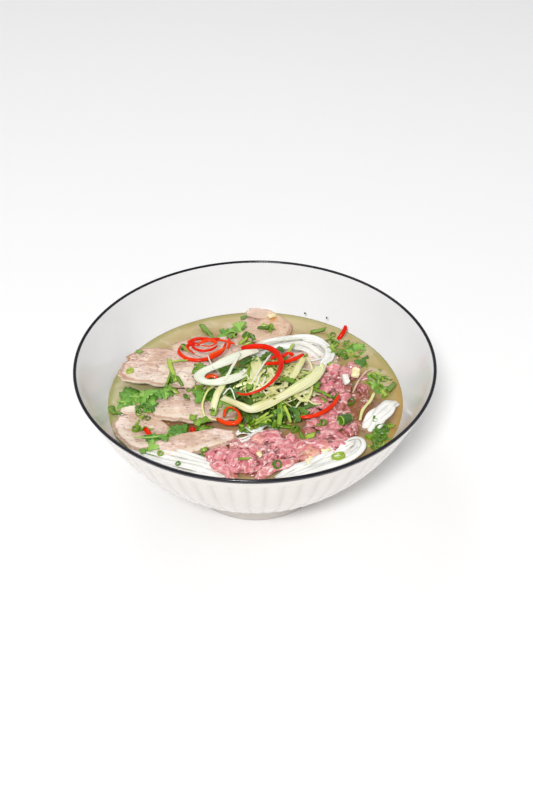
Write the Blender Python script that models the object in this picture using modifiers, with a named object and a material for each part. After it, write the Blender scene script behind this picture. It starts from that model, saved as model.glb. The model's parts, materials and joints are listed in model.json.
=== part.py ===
"""Pho noodle soup in a fluted bowl: beef slices, rare beef, noodles, shreds of scallion and chili.

Metres, +Z up. The origin is the middle of the foot ring's underside, and the front is -Y.
"""

import math

import bmesh
import bpy
from mathutils import Matrix, Vector, noise

OBJECT_NAME = "pho_noodle_soup"

# The bowl, as (radius, height) down its outer side.
RIM_RADIUS = 0.1125
RIM_HEIGHT = 0.098
LIP_DROP = 0.0011
WALL_AT_RIM = 0.0021
FLOOR_HEIGHT = 0.010
FOOT_RADIUS = 0.0425
FOOT_RING_WIDTH = 0.0037
FOOT_RECESS = 0.0044
INNER_WALL = (
    (0.020, 0.013),
    (0.044, 0.022),
    (0.064, 0.035),
    (0.080, 0.050),
    (0.0926, 0.0662),
    (0.1027, 0.082),
)
OUTER_WALL = (
    (0.1045, 0.079),
    (0.0946, 0.061),
    (0.0810, 0.0435),
    (0.0662, 0.029),
    (0.0556, 0.0195),
    (0.0512, 0.0162),
    (0.0465, 0.0115),
)
FLUTES = 36
FLUTE_DEPTH = 0.0009
FLUTE_LOW = 0.018
FLUTE_HIGH = 0.088
BOWL_STEPS = 2 * FLUTES

# The contents.
SOUP_LEVEL = 0.0662
SOUP_STEPS = 32
WALL_CLEARANCE = 0.00045
CLEARANCE = 0.0004
WELD = 0.00001
SLICE_THICKNESS = 0.0030
RIBBON_THICKNESS = 0.0010

NOODLE_RADIUS = 0.078
NOODLE_BOTTOM_GAP = 0.005
NOODLE_EDGE_THICKNESS = 0.0025
NOODLE_RING_SPREAD = 0.75
NOODLE_EDGE_HEIGHT = 0.057
NOODLE_MIDDLE_HEIGHT = 0.0625
# x, y, half length, half width, yaw in degrees, height of the hump's top, reach past the heap's edge.
NOODLE_HUMPS = (
    (-0.044, -0.062, 0.026, 0.011, -27, 0.0690, 0.006),
    (0.034, -0.066, 0.026, 0.009, 14, 0.0695, 0.006),
    (0.063, -0.050, 0.012, 0.010, 50, 0.0730, 0.006),
    (0.079, -0.009, 0.014, 0.013, 10, 0.0715, 0.008),
    (-0.079, -0.010, 0.009, 0.009, 0, 0.0680, 0.006),
    (-0.006, -0.042, 0.018, 0.008, 0, 0.0690, 0.0),
    (0.020, 0.046, 0.030, 0.014, 0, 0.0690, 0.0),
)

# Cooked slices: centre, half length, half width, yaw, pitch, roll in degrees, sag, outline seed.
SLICES = {
    "beef_slice_left": ((-0.0540, 0.024, 0.0735), (0.032, 0.0170), (-12, 4, 3), 0.003, 1.0),
    "beef_slice_middle": ((-0.0390, -0.008, 0.0695), (0.033, 0.0145), (-4, -1, 3), 0.002, 2.2),
    "beef_slice_front": ((-0.0400, -0.042, 0.0693), (0.030, 0.0120), (7, -3, 4), 0.0025, 3.1),
    "beef_slice_low_left": ((-0.0665, -0.0285, 0.0671), (0.021, 0.0170), (-52, 0, 2), 0.0015, 4.7),
    "beef_slice_back": ((0.0060, 0.069, 0.0697), (0.024, 0.0135), (-8, 0, -3), 0.003, 5.3),
    "beef_slice_under_chili": ((-0.0300, 0.050, 0.0672), (0.028, 0.0140), (9, 0, 1), 0.0015, 6.1),
    "beef_slice_right": ((0.0350, 0.034, 0.0690), (0.021, 0.0125), (12, 0, 2), 0.0015, 7.4),
}
SLICE_BLUNTNESS = 0.09

# Rare beef, folded into heaps: centre, half sizes, yaw in degrees, seed.
RARE_BEEF = {
    "rare_beef_front": ((-0.0045, -0.060, 0.0685), (0.0245, 0.0155, 0.0075), 4, 1.0),
    "rare_beef_band": ((0.0365, -0.051, 0.0680), (0.026, 0.0095, 0.0060), 9, 2.0),
    "rare_beef_middle": ((0.0450, -0.023, 0.0680), (0.020, 0.0120, 0.0060), 25, 3.0),
    "rare_beef_right": ((0.0580, 0.012, 0.0690), (0.018, 0.0150, 0.0075), 40, 4.0),
}
RARE_CREASE = 0.30
LUMP_UNDERSIDE = 0.6

# The loose heap of scallion shreds.
SHRED_CENTRE = (0.004, 0.004)
SHRED_HALF = (0.038, 0.034)
SHRED_BOTTOM = 0.0672
SHRED_EDGE = 0.0710
SHRED_TOP = 0.0790

# Chili strips as parts of an ellipse:
# centre, radii, start and end angle, heights along it, number of points, thickness radius.
CHILI_STRIPS = {
    "chili_arc": (
        (-0.004, 0.009), (0.021, 0.022), (105, -108),
        (0.0835, 0.0865, 0.0795), 12, 0.0018,
    ),
    "chili_bow": (
        (0.012, 0.035), (0.020, 0.0185), (-117, -22),
        (0.0822, 0.0812, 0.0815), 7, 0.0012,
    ),
    "chili_ring_large": (
        (-0.033, 0.036), (0.0155, 0.012), (152, 392),
        (0.0775, 0.0765, 0.0775), 11, 0.0015,
    ),
    "chili_ring_small": (
        (-0.031, 0.039), (0.0085, 0.0055), (30, 340),
        (0.0800, 0.0805, 0.0800), 10, 0.0012,
    ),
    "chili_ring_front": (
        (-0.0145, -0.0275), (0.0060, 0.0055), (200, 530),
        (0.0730, 0.0725, 0.0735), 10, 0.0013,
    ),
    "chili_strip_right": (
        (0.030, -0.011), (0.022, 0.021), (-96, -4),
        (0.0765, 0.0775, 0.0775), 7, 0.0014,
    ),
    "chili_strip_back": (
        (0.0580, 0.0615), (0.0030, 0.0040), (-170, 60),
        (0.0675, 0.0720, 0.0755), 6, 0.0014,
    ),
}

# Ribbons of scallion: the points they pass through, and their width.
RIBBONS = {
    "scallion_curl": (
        (
            (-0.006, 0.030, 0.0815),
            (-0.021, 0.018, 0.0815),
            (-0.032, 0.0085, 0.0800),
            (-0.0325, 0.002, 0.0785),
            (-0.021, 0.0005, 0.0795),
            (-0.009, 0.004, 0.0810),
        ),
        0.0048,
    ),
    "scallion_leaf": (
        (
            (-0.022, -0.014, 0.0770),
            (-0.011, -0.023, 0.0765),
            (-0.002, -0.027, 0.0768),
            (0.010, -0.019, 0.0780),
            (0.026, -0.005, 0.0790),
            (0.040, 0.008, 0.0790),
        ),
        0.0072,
    ),
}
RIBBON_STEPS = 11

NOODLE_LOOP_RADIUS = 0.0036
NOODLE_LOOP = ((0.0235, 0.0325), (0.0265, 0.020), (112, -44), (0.0745, 0.0755, 0.0735), 11)

SCALLION_TUBE_CENTRE = (0.0545, -0.0345, 0.0770)
SCALLION_TUBE_LENGTH = 0.0085
SCALLION_TUBE_RADIUS = 0.0031
SCALLION_TUBE_WALL = 0.0008
SCALLION_TUBE_YAW = 20

# Pieces of garlic and onion: centre, half sizes, yaw in degrees.
GARLIC = {
    "garlic_chip": ((0.0640, 0.0095, 0.0785), (0.0044, 0.0027, 0.0022), 70),
    "onion_piece": ((0.0572, 0.0030, 0.0785), (0.0044, 0.0024, 0.0020), 95),
}

GLAZE = (0.87, 0.86, 0.84)
BROTH = (0.53, 0.44, 0.23)
NOODLE_WHITE = (0.86, 0.85, 0.80)
COOKED_BEEF = (0.58, 0.42, 0.34)
RAW_PINK = (0.58, 0.15, 0.18)
SCALLION_GREEN = (0.62, 0.70, 0.32)
CHILI_RED = (0.75, 0.03, 0.01)
GARLIC_CREAM = (0.82, 0.74, 0.50)


def material(name, color, roughness):
    made = bpy.data.materials.new(name)
    made.use_nodes = True
    shader = made.node_tree.nodes["Principled BSDF"]
    shader.inputs["Base Color"].default_value = (*color, 1.0)
    shader.inputs["Roughness"].default_value = roughness
    shader.inputs["Metallic"].default_value = 0.0
    return made


def collection(name, hidden=False):
    made = bpy.data.collections.new(name)
    made.hide_render = hidden
    bpy.context.scene.collection.children.link(made)
    return made


def place(name, data, group, look, parent, location=(0, 0, 0), angles=(0, 0, 0)):
    """One object in the group. The angles are about X, Y and Z, in degrees."""
    made = bpy.data.objects.new(name, data)
    group.objects.link(made)
    made.parent = parent
    made.location = location
    made.rotation_euler = [math.radians(angle) for angle in angles]
    made.data.materials.append(look)
    return made


def mesh_of(work, name):
    mesh = bpy.data.meshes.new(name)
    work.to_mesh(mesh)
    work.free()
    return mesh


def smooth(obj):
    obj.data.shade_smooth()
    obj.data.set_sharp_from_angle(angle=math.radians(50))


def evaluated_mesh(obj):
    """A new mesh of the object as its modifiers or its curve make it, welded and in triangles.

    A bent quad would split along another diagonal in the grown copy that cuts its neighbours.
    """
    bpy.context.view_layer.update()
    graph = bpy.context.evaluated_depsgraph_get()
    mesh = bpy.data.meshes.new_from_object(obj.evaluated_get(graph))
    work = bmesh.new()
    work.from_mesh(mesh)
    bmesh.ops.remove_doubles(work, verts=work.verts, dist=WELD)
    bmesh.ops.triangulate(work, faces=work.faces)
    bmesh.ops.recalc_face_normals(work, faces=work.faces)
    work.to_mesh(mesh)
    work.free()
    return mesh


def settle(obj):
    """Uses up the object's modifiers."""
    mesh = evaluated_mesh(obj)
    obj.modifiers.clear()
    obj.data = mesh


def as_mesh_object(curve_object):
    """The curve object as a mesh object of the same name, place and material."""
    name = curve_object.name
    mesh = evaluated_mesh(curve_object)
    group = curve_object.users_collection[0]
    parent = curve_object.parent
    matrix = curve_object.matrix_world.copy()
    bpy.data.objects.remove(curve_object)
    made = bpy.data.objects.new(name, mesh)
    group.objects.link(made)
    made.parent = parent
    made.matrix_world = matrix
    return made


def turned(name, profile, steps, group, look, parent):
    """A solid of revolution about Z from (radius, height) points that run down its outer side."""
    work = bmesh.new()
    points = [work.verts.new((radius, 0, height)) for radius, height in profile]
    for first, second in zip(points, points[1:]):
        work.edges.new((first, second))
    made = place(name, mesh_of(work, name), group, look, parent)
    screw = made.modifiers.new("Turn", "SCREW")
    screw.steps = steps
    screw.render_steps = steps
    screw.use_merge_vertices = True
    screw.merge_threshold = 0.0001
    settle(made)
    return made


def bowl_profile():
    lip_middle = RIM_RADIUS - WALL_AT_RIM / 2
    foot_inside = FOOT_RADIUS - FOOT_RING_WIDTH
    return [
        (0, FLOOR_HEIGHT),
        *INNER_WALL,
        (RIM_RADIUS - WALL_AT_RIM, RIM_HEIGHT - LIP_DROP),
        (lip_middle, RIM_HEIGHT),
        (RIM_RADIUS, RIM_HEIGHT - LIP_DROP),
        *OUTER_WALL,
        (FOOT_RADIUS, 0),
        (foot_inside, 0),
        (foot_inside - 0.0015, FOOT_RECESS),
        (0, FOOT_RECESS),
    ]


def wall_height(radius):
    """The height of the bowl's inner wall at this distance from the axis."""
    stations = [(0, FLOOR_HEIGHT), *INNER_WALL]
    for (near, low), (far, high) in zip(stations, stations[1:]):
        if radius <= far:
            return low + (high - low) * (radius - near) / (far - near)
    return stations[-1][1]


def wall_radius(height):
    """The bowl's inner radius at this height."""
    for (near, low), (far, high) in zip(INNER_WALL, INNER_WALL[1:]):
        if height <= high:
            return near + (far - near) * (height - low) / (high - low)
    return INNER_WALL[-1][0]


def make_bowl(group, parent):
    """The turned bowl, with a notch between each two flutes pressed into its outer wall."""
    bowl = turned("bowl", bowl_profile(), BOWL_STEPS, group, material("glazed_white", GLAZE, 0.12), parent)
    for vert in bowl.data.vertices:
        radius = math.hypot(vert.co.x, vert.co.y)
        outside = radius > 0.045 and vert.co.z < wall_height(radius) - 0.001
        if not outside or not FLUTE_LOW < vert.co.z < FLUTE_HIGH:
            continue
        turn = math.atan2(vert.co.y, vert.co.x) * FLUTES
        depth = FLUTE_DEPTH * (0.5 + 0.5 * math.cos(turn))
        vert.co.xy *= 1 - depth / radius
    bowl.data.update()
    return bowl


def make_soup(group, parent):
    """Broth that fills the bowl up to its level, just clear of the wall."""
    below = [point for point in INNER_WALL if point[1] < SOUP_LEVEL]
    top_radius = wall_radius(SOUP_LEVEL) - WALL_CLEARANCE
    wall = [(radius - WALL_CLEARANCE, height + WALL_CLEARANCE) for radius, height in reversed(below)]
    profile = [(0, SOUP_LEVEL), (top_radius, SOUP_LEVEL), *wall, (0, FLOOR_HEIGHT + WALL_CLEARANCE)]
    return turned("soup", profile, SOUP_STEPS, group, material("broth", BROTH, 0.08), parent)


def hump_share(x, y, hump):
    """How strongly a hump of noodles lifts the heap at this place, from 0 to 1."""
    centre_x, centre_y, half_length, half_width, yaw = hump[:5]
    turned_place = Matrix.Rotation(math.radians(-yaw), 2) @ Vector((x - centre_x, y - centre_y))
    distance = math.hypot(turned_place.x / half_length, turned_place.y / half_width)
    return math.exp(-(distance**4) / 1.6)


def noodle_outline(angle):
    """The heap's reach in this direction: round, with its humps pushed out towards the wall."""
    reach = NOODLE_RADIUS
    for hump in NOODLE_HUMPS:
        difference = math.remainder(angle - math.atan2(hump[1], hump[0]), math.tau)
        reach += hump[6] * math.exp(-((difference / 0.22) ** 2))
    return reach


def noodle_height(x, y):
    middle = max(0.0, 1 - math.hypot(x, y) / NOODLE_RADIUS)
    rise = NOODLE_MIDDLE_HEIGHT - NOODLE_EDGE_HEIGHT
    height = NOODLE_EDGE_HEIGHT + rise * min(1.0, 1.8 * middle)
    for hump in NOODLE_HUMPS:
        height += max(0.0, hump[5] - height) * hump_share(x, y, hump)
    return height


def make_noodles(group, parent):
    """The heap of noodles as one lumpy solid that lies in the bowl and comes up through the broth."""
    work = bmesh.new()
    bmesh.ops.create_uvsphere(work, u_segments=24, v_segments=10, radius=1.0)
    for vert in work.verts:
        angle = math.atan2(vert.co.y, vert.co.x)
        radius = noodle_outline(angle) * math.hypot(vert.co.x, vert.co.y) ** NOODLE_RING_SPREAD
        upper = vert.co.z > -0.001
        bottom = wall_height(radius) + NOODLE_BOTTOM_GAP
        vert.co.x = radius * math.cos(angle)
        vert.co.y = radius * math.sin(angle)
        top = max(noodle_height(vert.co.x, vert.co.y), bottom + NOODLE_EDGE_THICKNESS)
        vert.co.z = top if upper else bottom
    look = material("rice_noodle", NOODLE_WHITE, 0.3)
    noodles = place("noodles", mesh_of(work, "noodles"), group, look, parent)
    settle(noodles)
    return noodles


def make_slice(name, sizes, group, look, parent):
    """A cooked slice: a rounded uneven outline, bent along its length, with an even thickness."""
    centre, half, (yaw, pitch, roll), sag, seed = sizes
    work = bmesh.new()
    bmesh.ops.create_grid(work, x_segments=7, y_segments=4, size=1.0)
    for vert in work.verts:
        across, along = vert.co.y, vert.co.x
        x = along * math.sqrt(1 - across**2 / 2)
        y = across * math.sqrt(1 - along**2 / 2)
        angle = math.atan2(y, x)
        edge = 1 + 0.05 * math.sin(2 * angle + seed) + 0.05 * math.sin(3 * angle + 2.3 * seed)
        edge += SLICE_BLUNTNESS * (abs(along * across) ** 1.5)
        wave = 0.0006 * math.sin(4 * x + seed) * math.cos(3 * y)
        vert.co = (half[0] * edge * x, half[1] * edge * y, sag * (0.5 - x * x) + wave)
    made = place(name, mesh_of(work, name), group, look, parent, centre, (roll, pitch, yaw))
    solid = made.modifiers.new("Thickness", "SOLIDIFY")
    solid.thickness = SLICE_THICKNESS
    solid.offset = 0
    settle(made)
    return made


def make_lump(name, centre, half, yaw, crease, seed, group, look, parent, segments=(14, 8)):
    """A rounded lump, flatter below, whose surface is creased by seeded noise."""
    work = bmesh.new()
    bmesh.ops.create_uvsphere(work, u_segments=segments[0], v_segments=segments[1], radius=1.0)
    for vert in work.verts:
        swell = 1 + crease * noise.noise(vert.co * 1.9 + Vector((7.0 * seed, 0, 0)))
        height = half[2] * swell * vert.co.z * (1 if vert.co.z > 0 else LUMP_UNDERSIDE)
        vert.co = (half[0] * swell * vert.co.x, half[1] * swell * vert.co.y, height)
    made = place(name, mesh_of(work, name), group, look, parent, centre, (0, 0, yaw))
    settle(made)
    return made


def make_shreds(group, look, parent):
    """The heap of fine scallion shreds: a flat underside and a low dome."""
    work = bmesh.new()
    bmesh.ops.create_uvsphere(work, u_segments=15, v_segments=7, radius=1.0)
    for vert in work.verts:
        reach = math.hypot(vert.co.x, vert.co.y)
        uneven = 1 + 0.12 * noise.noise(Vector((vert.co.x, vert.co.y, 0)) * 1.7)
        rise = (SHRED_TOP - SHRED_EDGE) * max(0.0, 1 - reach**2) ** 0.8
        upper = vert.co.z > -0.001
        vert.co.z = SHRED_EDGE + rise if upper else SHRED_BOTTOM
        vert.co.x *= SHRED_HALF[0] * uneven
        vert.co.y *= SHRED_HALF[1] * uneven
    shape = mesh_of(work, "scallion_shreds")
    made = place("scallion_shreds", shape, group, look, parent, (*SHRED_CENTRE, 0))
    settle(made)
    return made


def along(heights, share):
    """The height at this share of a strip, through its start, middle and end heights."""
    start, middle, end = heights
    return (
        start * (1 - share) * (1 - 2 * share)
        + middle * 4 * share * (1 - share)
        + end * share * (2 * share - 1)
    )


def arc_points(centre, radii, angles, heights, count):
    """Points on a part of an ellipse, from the first angle to the second."""
    points = []
    for index in range(count):
        share = index / (count - 1)
        angle = math.radians(angles[0] + (angles[1] - angles[0]) * share)
        x = centre[0] + radii[0] * math.cos(angle)
        y = centre[1] + radii[1] * math.sin(angle)
        points.append((x, y, along(heights, share)))
    return points


def make_tube(name, points, radius, thin_ends, group, look, parent):
    """A round strip along the points, which tapers to its ends by the given share."""
    curve = bpy.data.curves.new(name, "CURVE")
    curve.dimensions = "3D"
    curve.bevel_depth = radius
    curve.bevel_resolution = 1
    curve.use_fill_caps = True
    spline = curve.splines.new("POLY")
    spline.points.add(len(points) - 1)
    for index, (point, place_on_curve) in enumerate(zip(spline.points, points)):
        share = index / (len(points) - 1)
        point.co = (*place_on_curve, 1.0)
        point.radius = 1 - thin_ends * abs(2 * share - 1) ** 2
    return as_mesh_object(place(name, curve, group, look, parent))


def through(points, share):
    """The place at this share of a smooth curve through the points (Catmull-Rom)."""
    spans = len(points) - 1
    index = min(int(share * spans), spans - 1)
    part = share * spans - index
    ends = [Vector(points[max(0, min(spans, index + step))]) for step in (-1, 0, 1, 2)]
    before, start, end, after = ends
    return 0.5 * (
        2 * start
        + (end - before) * part
        + (2 * before - 5 * start + 4 * end - after) * part**2
        + (3 * start - before - 3 * end + after) * part**3
    )


def make_ribbon(name, sizes, group, look, parent):
    """A flat ribbon along a smooth curve, narrower at its ends."""
    points, width = sizes
    work = bmesh.new()
    bmesh.ops.create_grid(work, x_segments=RIBBON_STEPS, y_segments=1, size=0.5)
    for vert in work.verts:
        share = min(max(vert.co.x + 0.5, 0.0), 1.0)
        ahead = through(points, min(share + 0.02, 1.0)) - through(points, max(share - 0.02, 0.0))
        side = ahead.cross(Vector((0, 0, 1))).normalized()
        half_width = width * (0.55 + 0.45 * math.sin(math.pi * share))
        vert.co = through(points, share) + side * vert.co.y * half_width
    made = place(name, mesh_of(work, name), group, look, parent)
    solid = made.modifiers.new("Thickness", "SOLIDIFY")
    solid.thickness = RIBBON_THICKNESS
    solid.offset = 0
    settle(made)
    return made


def make_scallion_tube(group, look, parent):
    """A short cut length of green scallion, hollow, lying on its side."""
    inner = SCALLION_TUBE_RADIUS - SCALLION_TUBE_WALL
    half = SCALLION_TUBE_LENGTH / 2
    profile = [
        (inner, half),
        (SCALLION_TUBE_RADIUS, half),
        (SCALLION_TUBE_RADIUS, -half),
        (inner, -half),
        (inner, half),
    ]
    made = turned("scallion_tube", profile, 12, group, look, parent)
    made.location = SCALLION_TUBE_CENTRE
    made.rotation_euler = (0, math.radians(90), math.radians(SCALLION_TUBE_YAW))
    return made


def world_box(obj):
    corners = [obj.matrix_world @ vert.co for vert in obj.data.vertices]
    low = [min(corner[axis] for corner in corners) for axis in range(3)]
    high = [max(corner[axis] for corner in corners) for axis in range(3)]
    return low, high


def boxes_meet(first, second):
    (low_a, high_a), (low_b, high_b) = world_box(first), world_box(second)
    return all(low_a[axis] < high_b[axis] and low_b[axis] < high_a[axis] for axis in range(3))


def grown(obj, cutters):
    """A hidden copy of the piece that stands out all round by the clearance, to cut its neighbours with."""
    work = bmesh.new()
    work.from_mesh(obj.data)
    work.normal_update()
    moves = [(vert, vert.normal * CLEARANCE * min(vert.calc_shell_factor(), 2.0)) for vert in work.verts]
    for vert, move in moves:
        vert.co += move
    made = bpy.data.objects.new(obj.name + "_cutter", mesh_of(work, obj.name + "_cutter"))
    cutters.objects.link(made)
    made.matrix_world = obj.matrix_world
    made.hide_render = True
    made.display_type = "WIRE"
    return made


def keep_largest(obj):
    """Drops the chips that a cut leaves beside the piece."""
    work = bmesh.new()
    work.from_mesh(obj.data)
    left = set(work.verts)
    islands = []
    while left:
        island, edge = set(), [left.pop()]
        while edge:
            vert = edge.pop()
            island.add(vert)
            near = {link.other_vert(vert) for link in vert.link_edges} & left
            left -= near
            edge.extend(near)
        islands.append(island)
    islands.sort(key=len)
    chips = [vert for island in islands[:-1] for vert in island]
    bmesh.ops.delete(work, geom=chips, context="VERTS")
    work.to_mesh(obj.data)
    work.free()


def cut_clear(piece, earlier_cutters):
    """Cuts the room of each earlier piece, with the clearance, out of this one."""
    for cutter in earlier_cutters:
        if not boxes_meet(piece, cutter):
            continue
        cut = piece.modifiers.new("Room", "BOOLEAN")
        cut.operation = "DIFFERENCE"
        cut.solver = "EXACT"
        cut.object = cutter
        settle(piece)
        keep_largest(piece)


def make_garnish(group, parent):
    """Chili, ribbons of scallion, the scallion tube and the garlic, which keep their whole shape."""
    scallion = material("scallion", SCALLION_GREEN, 0.3)
    chili = material("chili", CHILI_RED, 0.2)
    cream = material("garlic", GARLIC_CREAM, 0.4)
    pieces = []
    for name, arc in CHILI_STRIPS.items():
        pieces.append(make_tube(name, arc_points(*arc[:5]), arc[5], 0.45, group, chili, parent))
    for name, sizes in RIBBONS.items():
        pieces.append(make_ribbon(name, sizes, group, scallion, parent))
    pieces.append(make_scallion_tube(group, scallion, parent))
    for name, (centre, half, yaw) in GARLIC.items():
        pieces.append(make_lump(name, centre, half, yaw, 0.2, 1.0, group, cream, parent, (10, 6)))
    return pieces


def make_fillings(group, parent):
    """The noodle loop, the beef and the shreds, from the top of the bowl downwards."""
    white = material("noodle_loop", NOODLE_WHITE, 0.3)
    cooked = material("cooked_beef", COOKED_BEEF, 0.55)
    raw = material("rare_beef", RAW_PINK, 0.3)
    shreds = material("scallion_shreds", SCALLION_GREEN, 0.4)
    loop = arc_points(*NOODLE_LOOP)
    pieces = [make_tube("noodle_loop", loop, NOODLE_LOOP_RADIUS, 0.3, group, white, parent)]
    for name, sizes in SLICES.items():
        pieces.append(make_slice(name, sizes, group, cooked, parent))
    for name, (centre, half, yaw, seed) in RARE_BEEF.items():
        pieces.append(make_lump(name, centre, half, yaw, RARE_CREASE, seed, group, raw, parent))
    pieces.append(make_shreds(group, shreds, parent))
    pieces.append(make_noodles(group, parent))
    pieces.append(make_soup(group, parent))
    return pieces


def main():
    for obj in list(bpy.data.objects):
        bpy.data.objects.remove(obj)
    group = collection(OBJECT_NAME)
    cutters = collection("cutters", hidden=True)
    parent = bpy.data.objects.new(OBJECT_NAME, None)
    group.objects.link(parent)
    bowl = make_bowl(group, parent)
    garnish = make_garnish(group, parent)
    fillings = make_fillings(group, parent)
    bpy.context.view_layer.update()
    rooms = [grown(piece, cutters) for piece in garnish]
    for piece in fillings:
        room = grown(piece, cutters)
        cut_clear(piece, rooms)
        rooms.append(room)
    for piece in [bowl, *garnish, *fillings]:
        smooth(piece)


main()
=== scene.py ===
"""How a bowl of beef pho looks: a white fluted bowl, clear broth, rice noodles, cooked and rare
beef, scallion shreds, chili strips, herbs, and what floats or is sunk in the broth."""

import json
import math
import random

import bmesh
import bpy
from mathutils import Matrix, Vector, noise
from mathutils.bvhtree import BVHTree

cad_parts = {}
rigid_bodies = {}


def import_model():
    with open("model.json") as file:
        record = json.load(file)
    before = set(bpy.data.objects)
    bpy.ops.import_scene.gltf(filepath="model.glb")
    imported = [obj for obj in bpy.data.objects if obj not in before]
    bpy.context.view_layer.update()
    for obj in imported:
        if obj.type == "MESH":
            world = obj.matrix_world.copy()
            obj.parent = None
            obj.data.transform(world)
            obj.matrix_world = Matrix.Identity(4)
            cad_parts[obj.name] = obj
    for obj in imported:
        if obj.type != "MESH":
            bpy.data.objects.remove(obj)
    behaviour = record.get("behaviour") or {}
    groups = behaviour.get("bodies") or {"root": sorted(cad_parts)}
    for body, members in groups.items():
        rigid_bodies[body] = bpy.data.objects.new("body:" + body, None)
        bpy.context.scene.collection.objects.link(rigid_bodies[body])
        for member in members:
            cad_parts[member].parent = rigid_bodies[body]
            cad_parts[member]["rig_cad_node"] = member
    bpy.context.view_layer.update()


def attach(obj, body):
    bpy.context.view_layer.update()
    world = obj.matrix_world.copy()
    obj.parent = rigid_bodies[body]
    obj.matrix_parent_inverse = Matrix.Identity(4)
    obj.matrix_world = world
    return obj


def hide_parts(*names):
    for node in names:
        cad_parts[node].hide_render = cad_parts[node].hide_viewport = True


MM = 0.001
# Without a seed of its own, noise.noise_vector follows the clock.
noise.seed_set(1)

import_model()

# ---- the bowl's sizes, in metres
RIM_RADIUS = 0.1125
RIM_HEIGHT = 0.0980
LIP_DROP = 0.0011
LIP_WALL = 0.0021
INNER_WALL = (
    (0.0, 0.0100), (0.0200, 0.0130), (0.0440, 0.0220), (0.0640, 0.0350), (0.0800, 0.0500),
    (0.0926, 0.0662), (0.1027, 0.0820), (0.1104, 0.0969),
)
OUTER_WALL = (
    (0.1125, 0.0969), (0.1045, 0.0790), (0.0946, 0.0610), (0.0810, 0.0435), (0.0662, 0.0290),
    (0.0556, 0.0195), (0.0512, 0.0162), (0.0465, 0.0115),
)
FOOT = (
    (0.0429, 0.0016), (0.0425, 0.0005), (0.0417, 0.0), (0.0396, 0.0), (0.0388, 0.0006),
    (0.0380, 0.0034), (0.0366, 0.0044), (0.0180, 0.0044), (0.0, 0.0044),
)
FLUTES = 66
FLUTE_DEPTH = 0.00060
STEPS_PER_FLUTE = 6
SOUP_LEVEL = 0.0662

# ---- finishes


def tint(red, green, blue):
    """A linear colour from its 0 to 255 values."""
    return (*((value / 255) ** 2.2 for value in (red, green, blue)), 1.0)


class Nodes:
    """A tree of nodes, with short ways to add nodes to it and to join them."""

    def __init__(self, tree):
        self.tree = tree

    def put(self, socket, value):
        if isinstance(value, bpy.types.NodeSocket):
            self.tree.links.new(value, socket)
        else:
            socket.default_value = value

    def add(self, kind, inputs=None, **settings):
        """The outputs of a new node with these inputs and settings."""
        node = self.tree.nodes.new(kind)
        for label, value in settings.items():
            setattr(node, label, value)
        for label, value in (inputs or {}).items():
            self.put(node.inputs[label], value)
        return node.outputs

    def calc(self, operation, *values):
        return self.add("ShaderNodeMath", dict(enumerate(values)), operation=operation)["Value"]

    def times(self, first, second):
        return self.calc("MULTIPLY", first, second)

    def blend(self, value, second, third):
        """The value times the second, and the third added."""
        return self.calc("MULTIPLY_ADD", value, second, third)

    def rest(self, value):
        """What is left of 1."""
        return self.calc("SUBTRACT", 1.0, value)

    def step(self, value, low, high):
        """0 below low, 1 above high, and a smooth rise between them."""
        inputs = {"Value": value, "From Min": low, "From Max": high}
        return self.add("ShaderNodeMapRange", inputs, interpolation_type="SMOOTHSTEP")["Result"]


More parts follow.
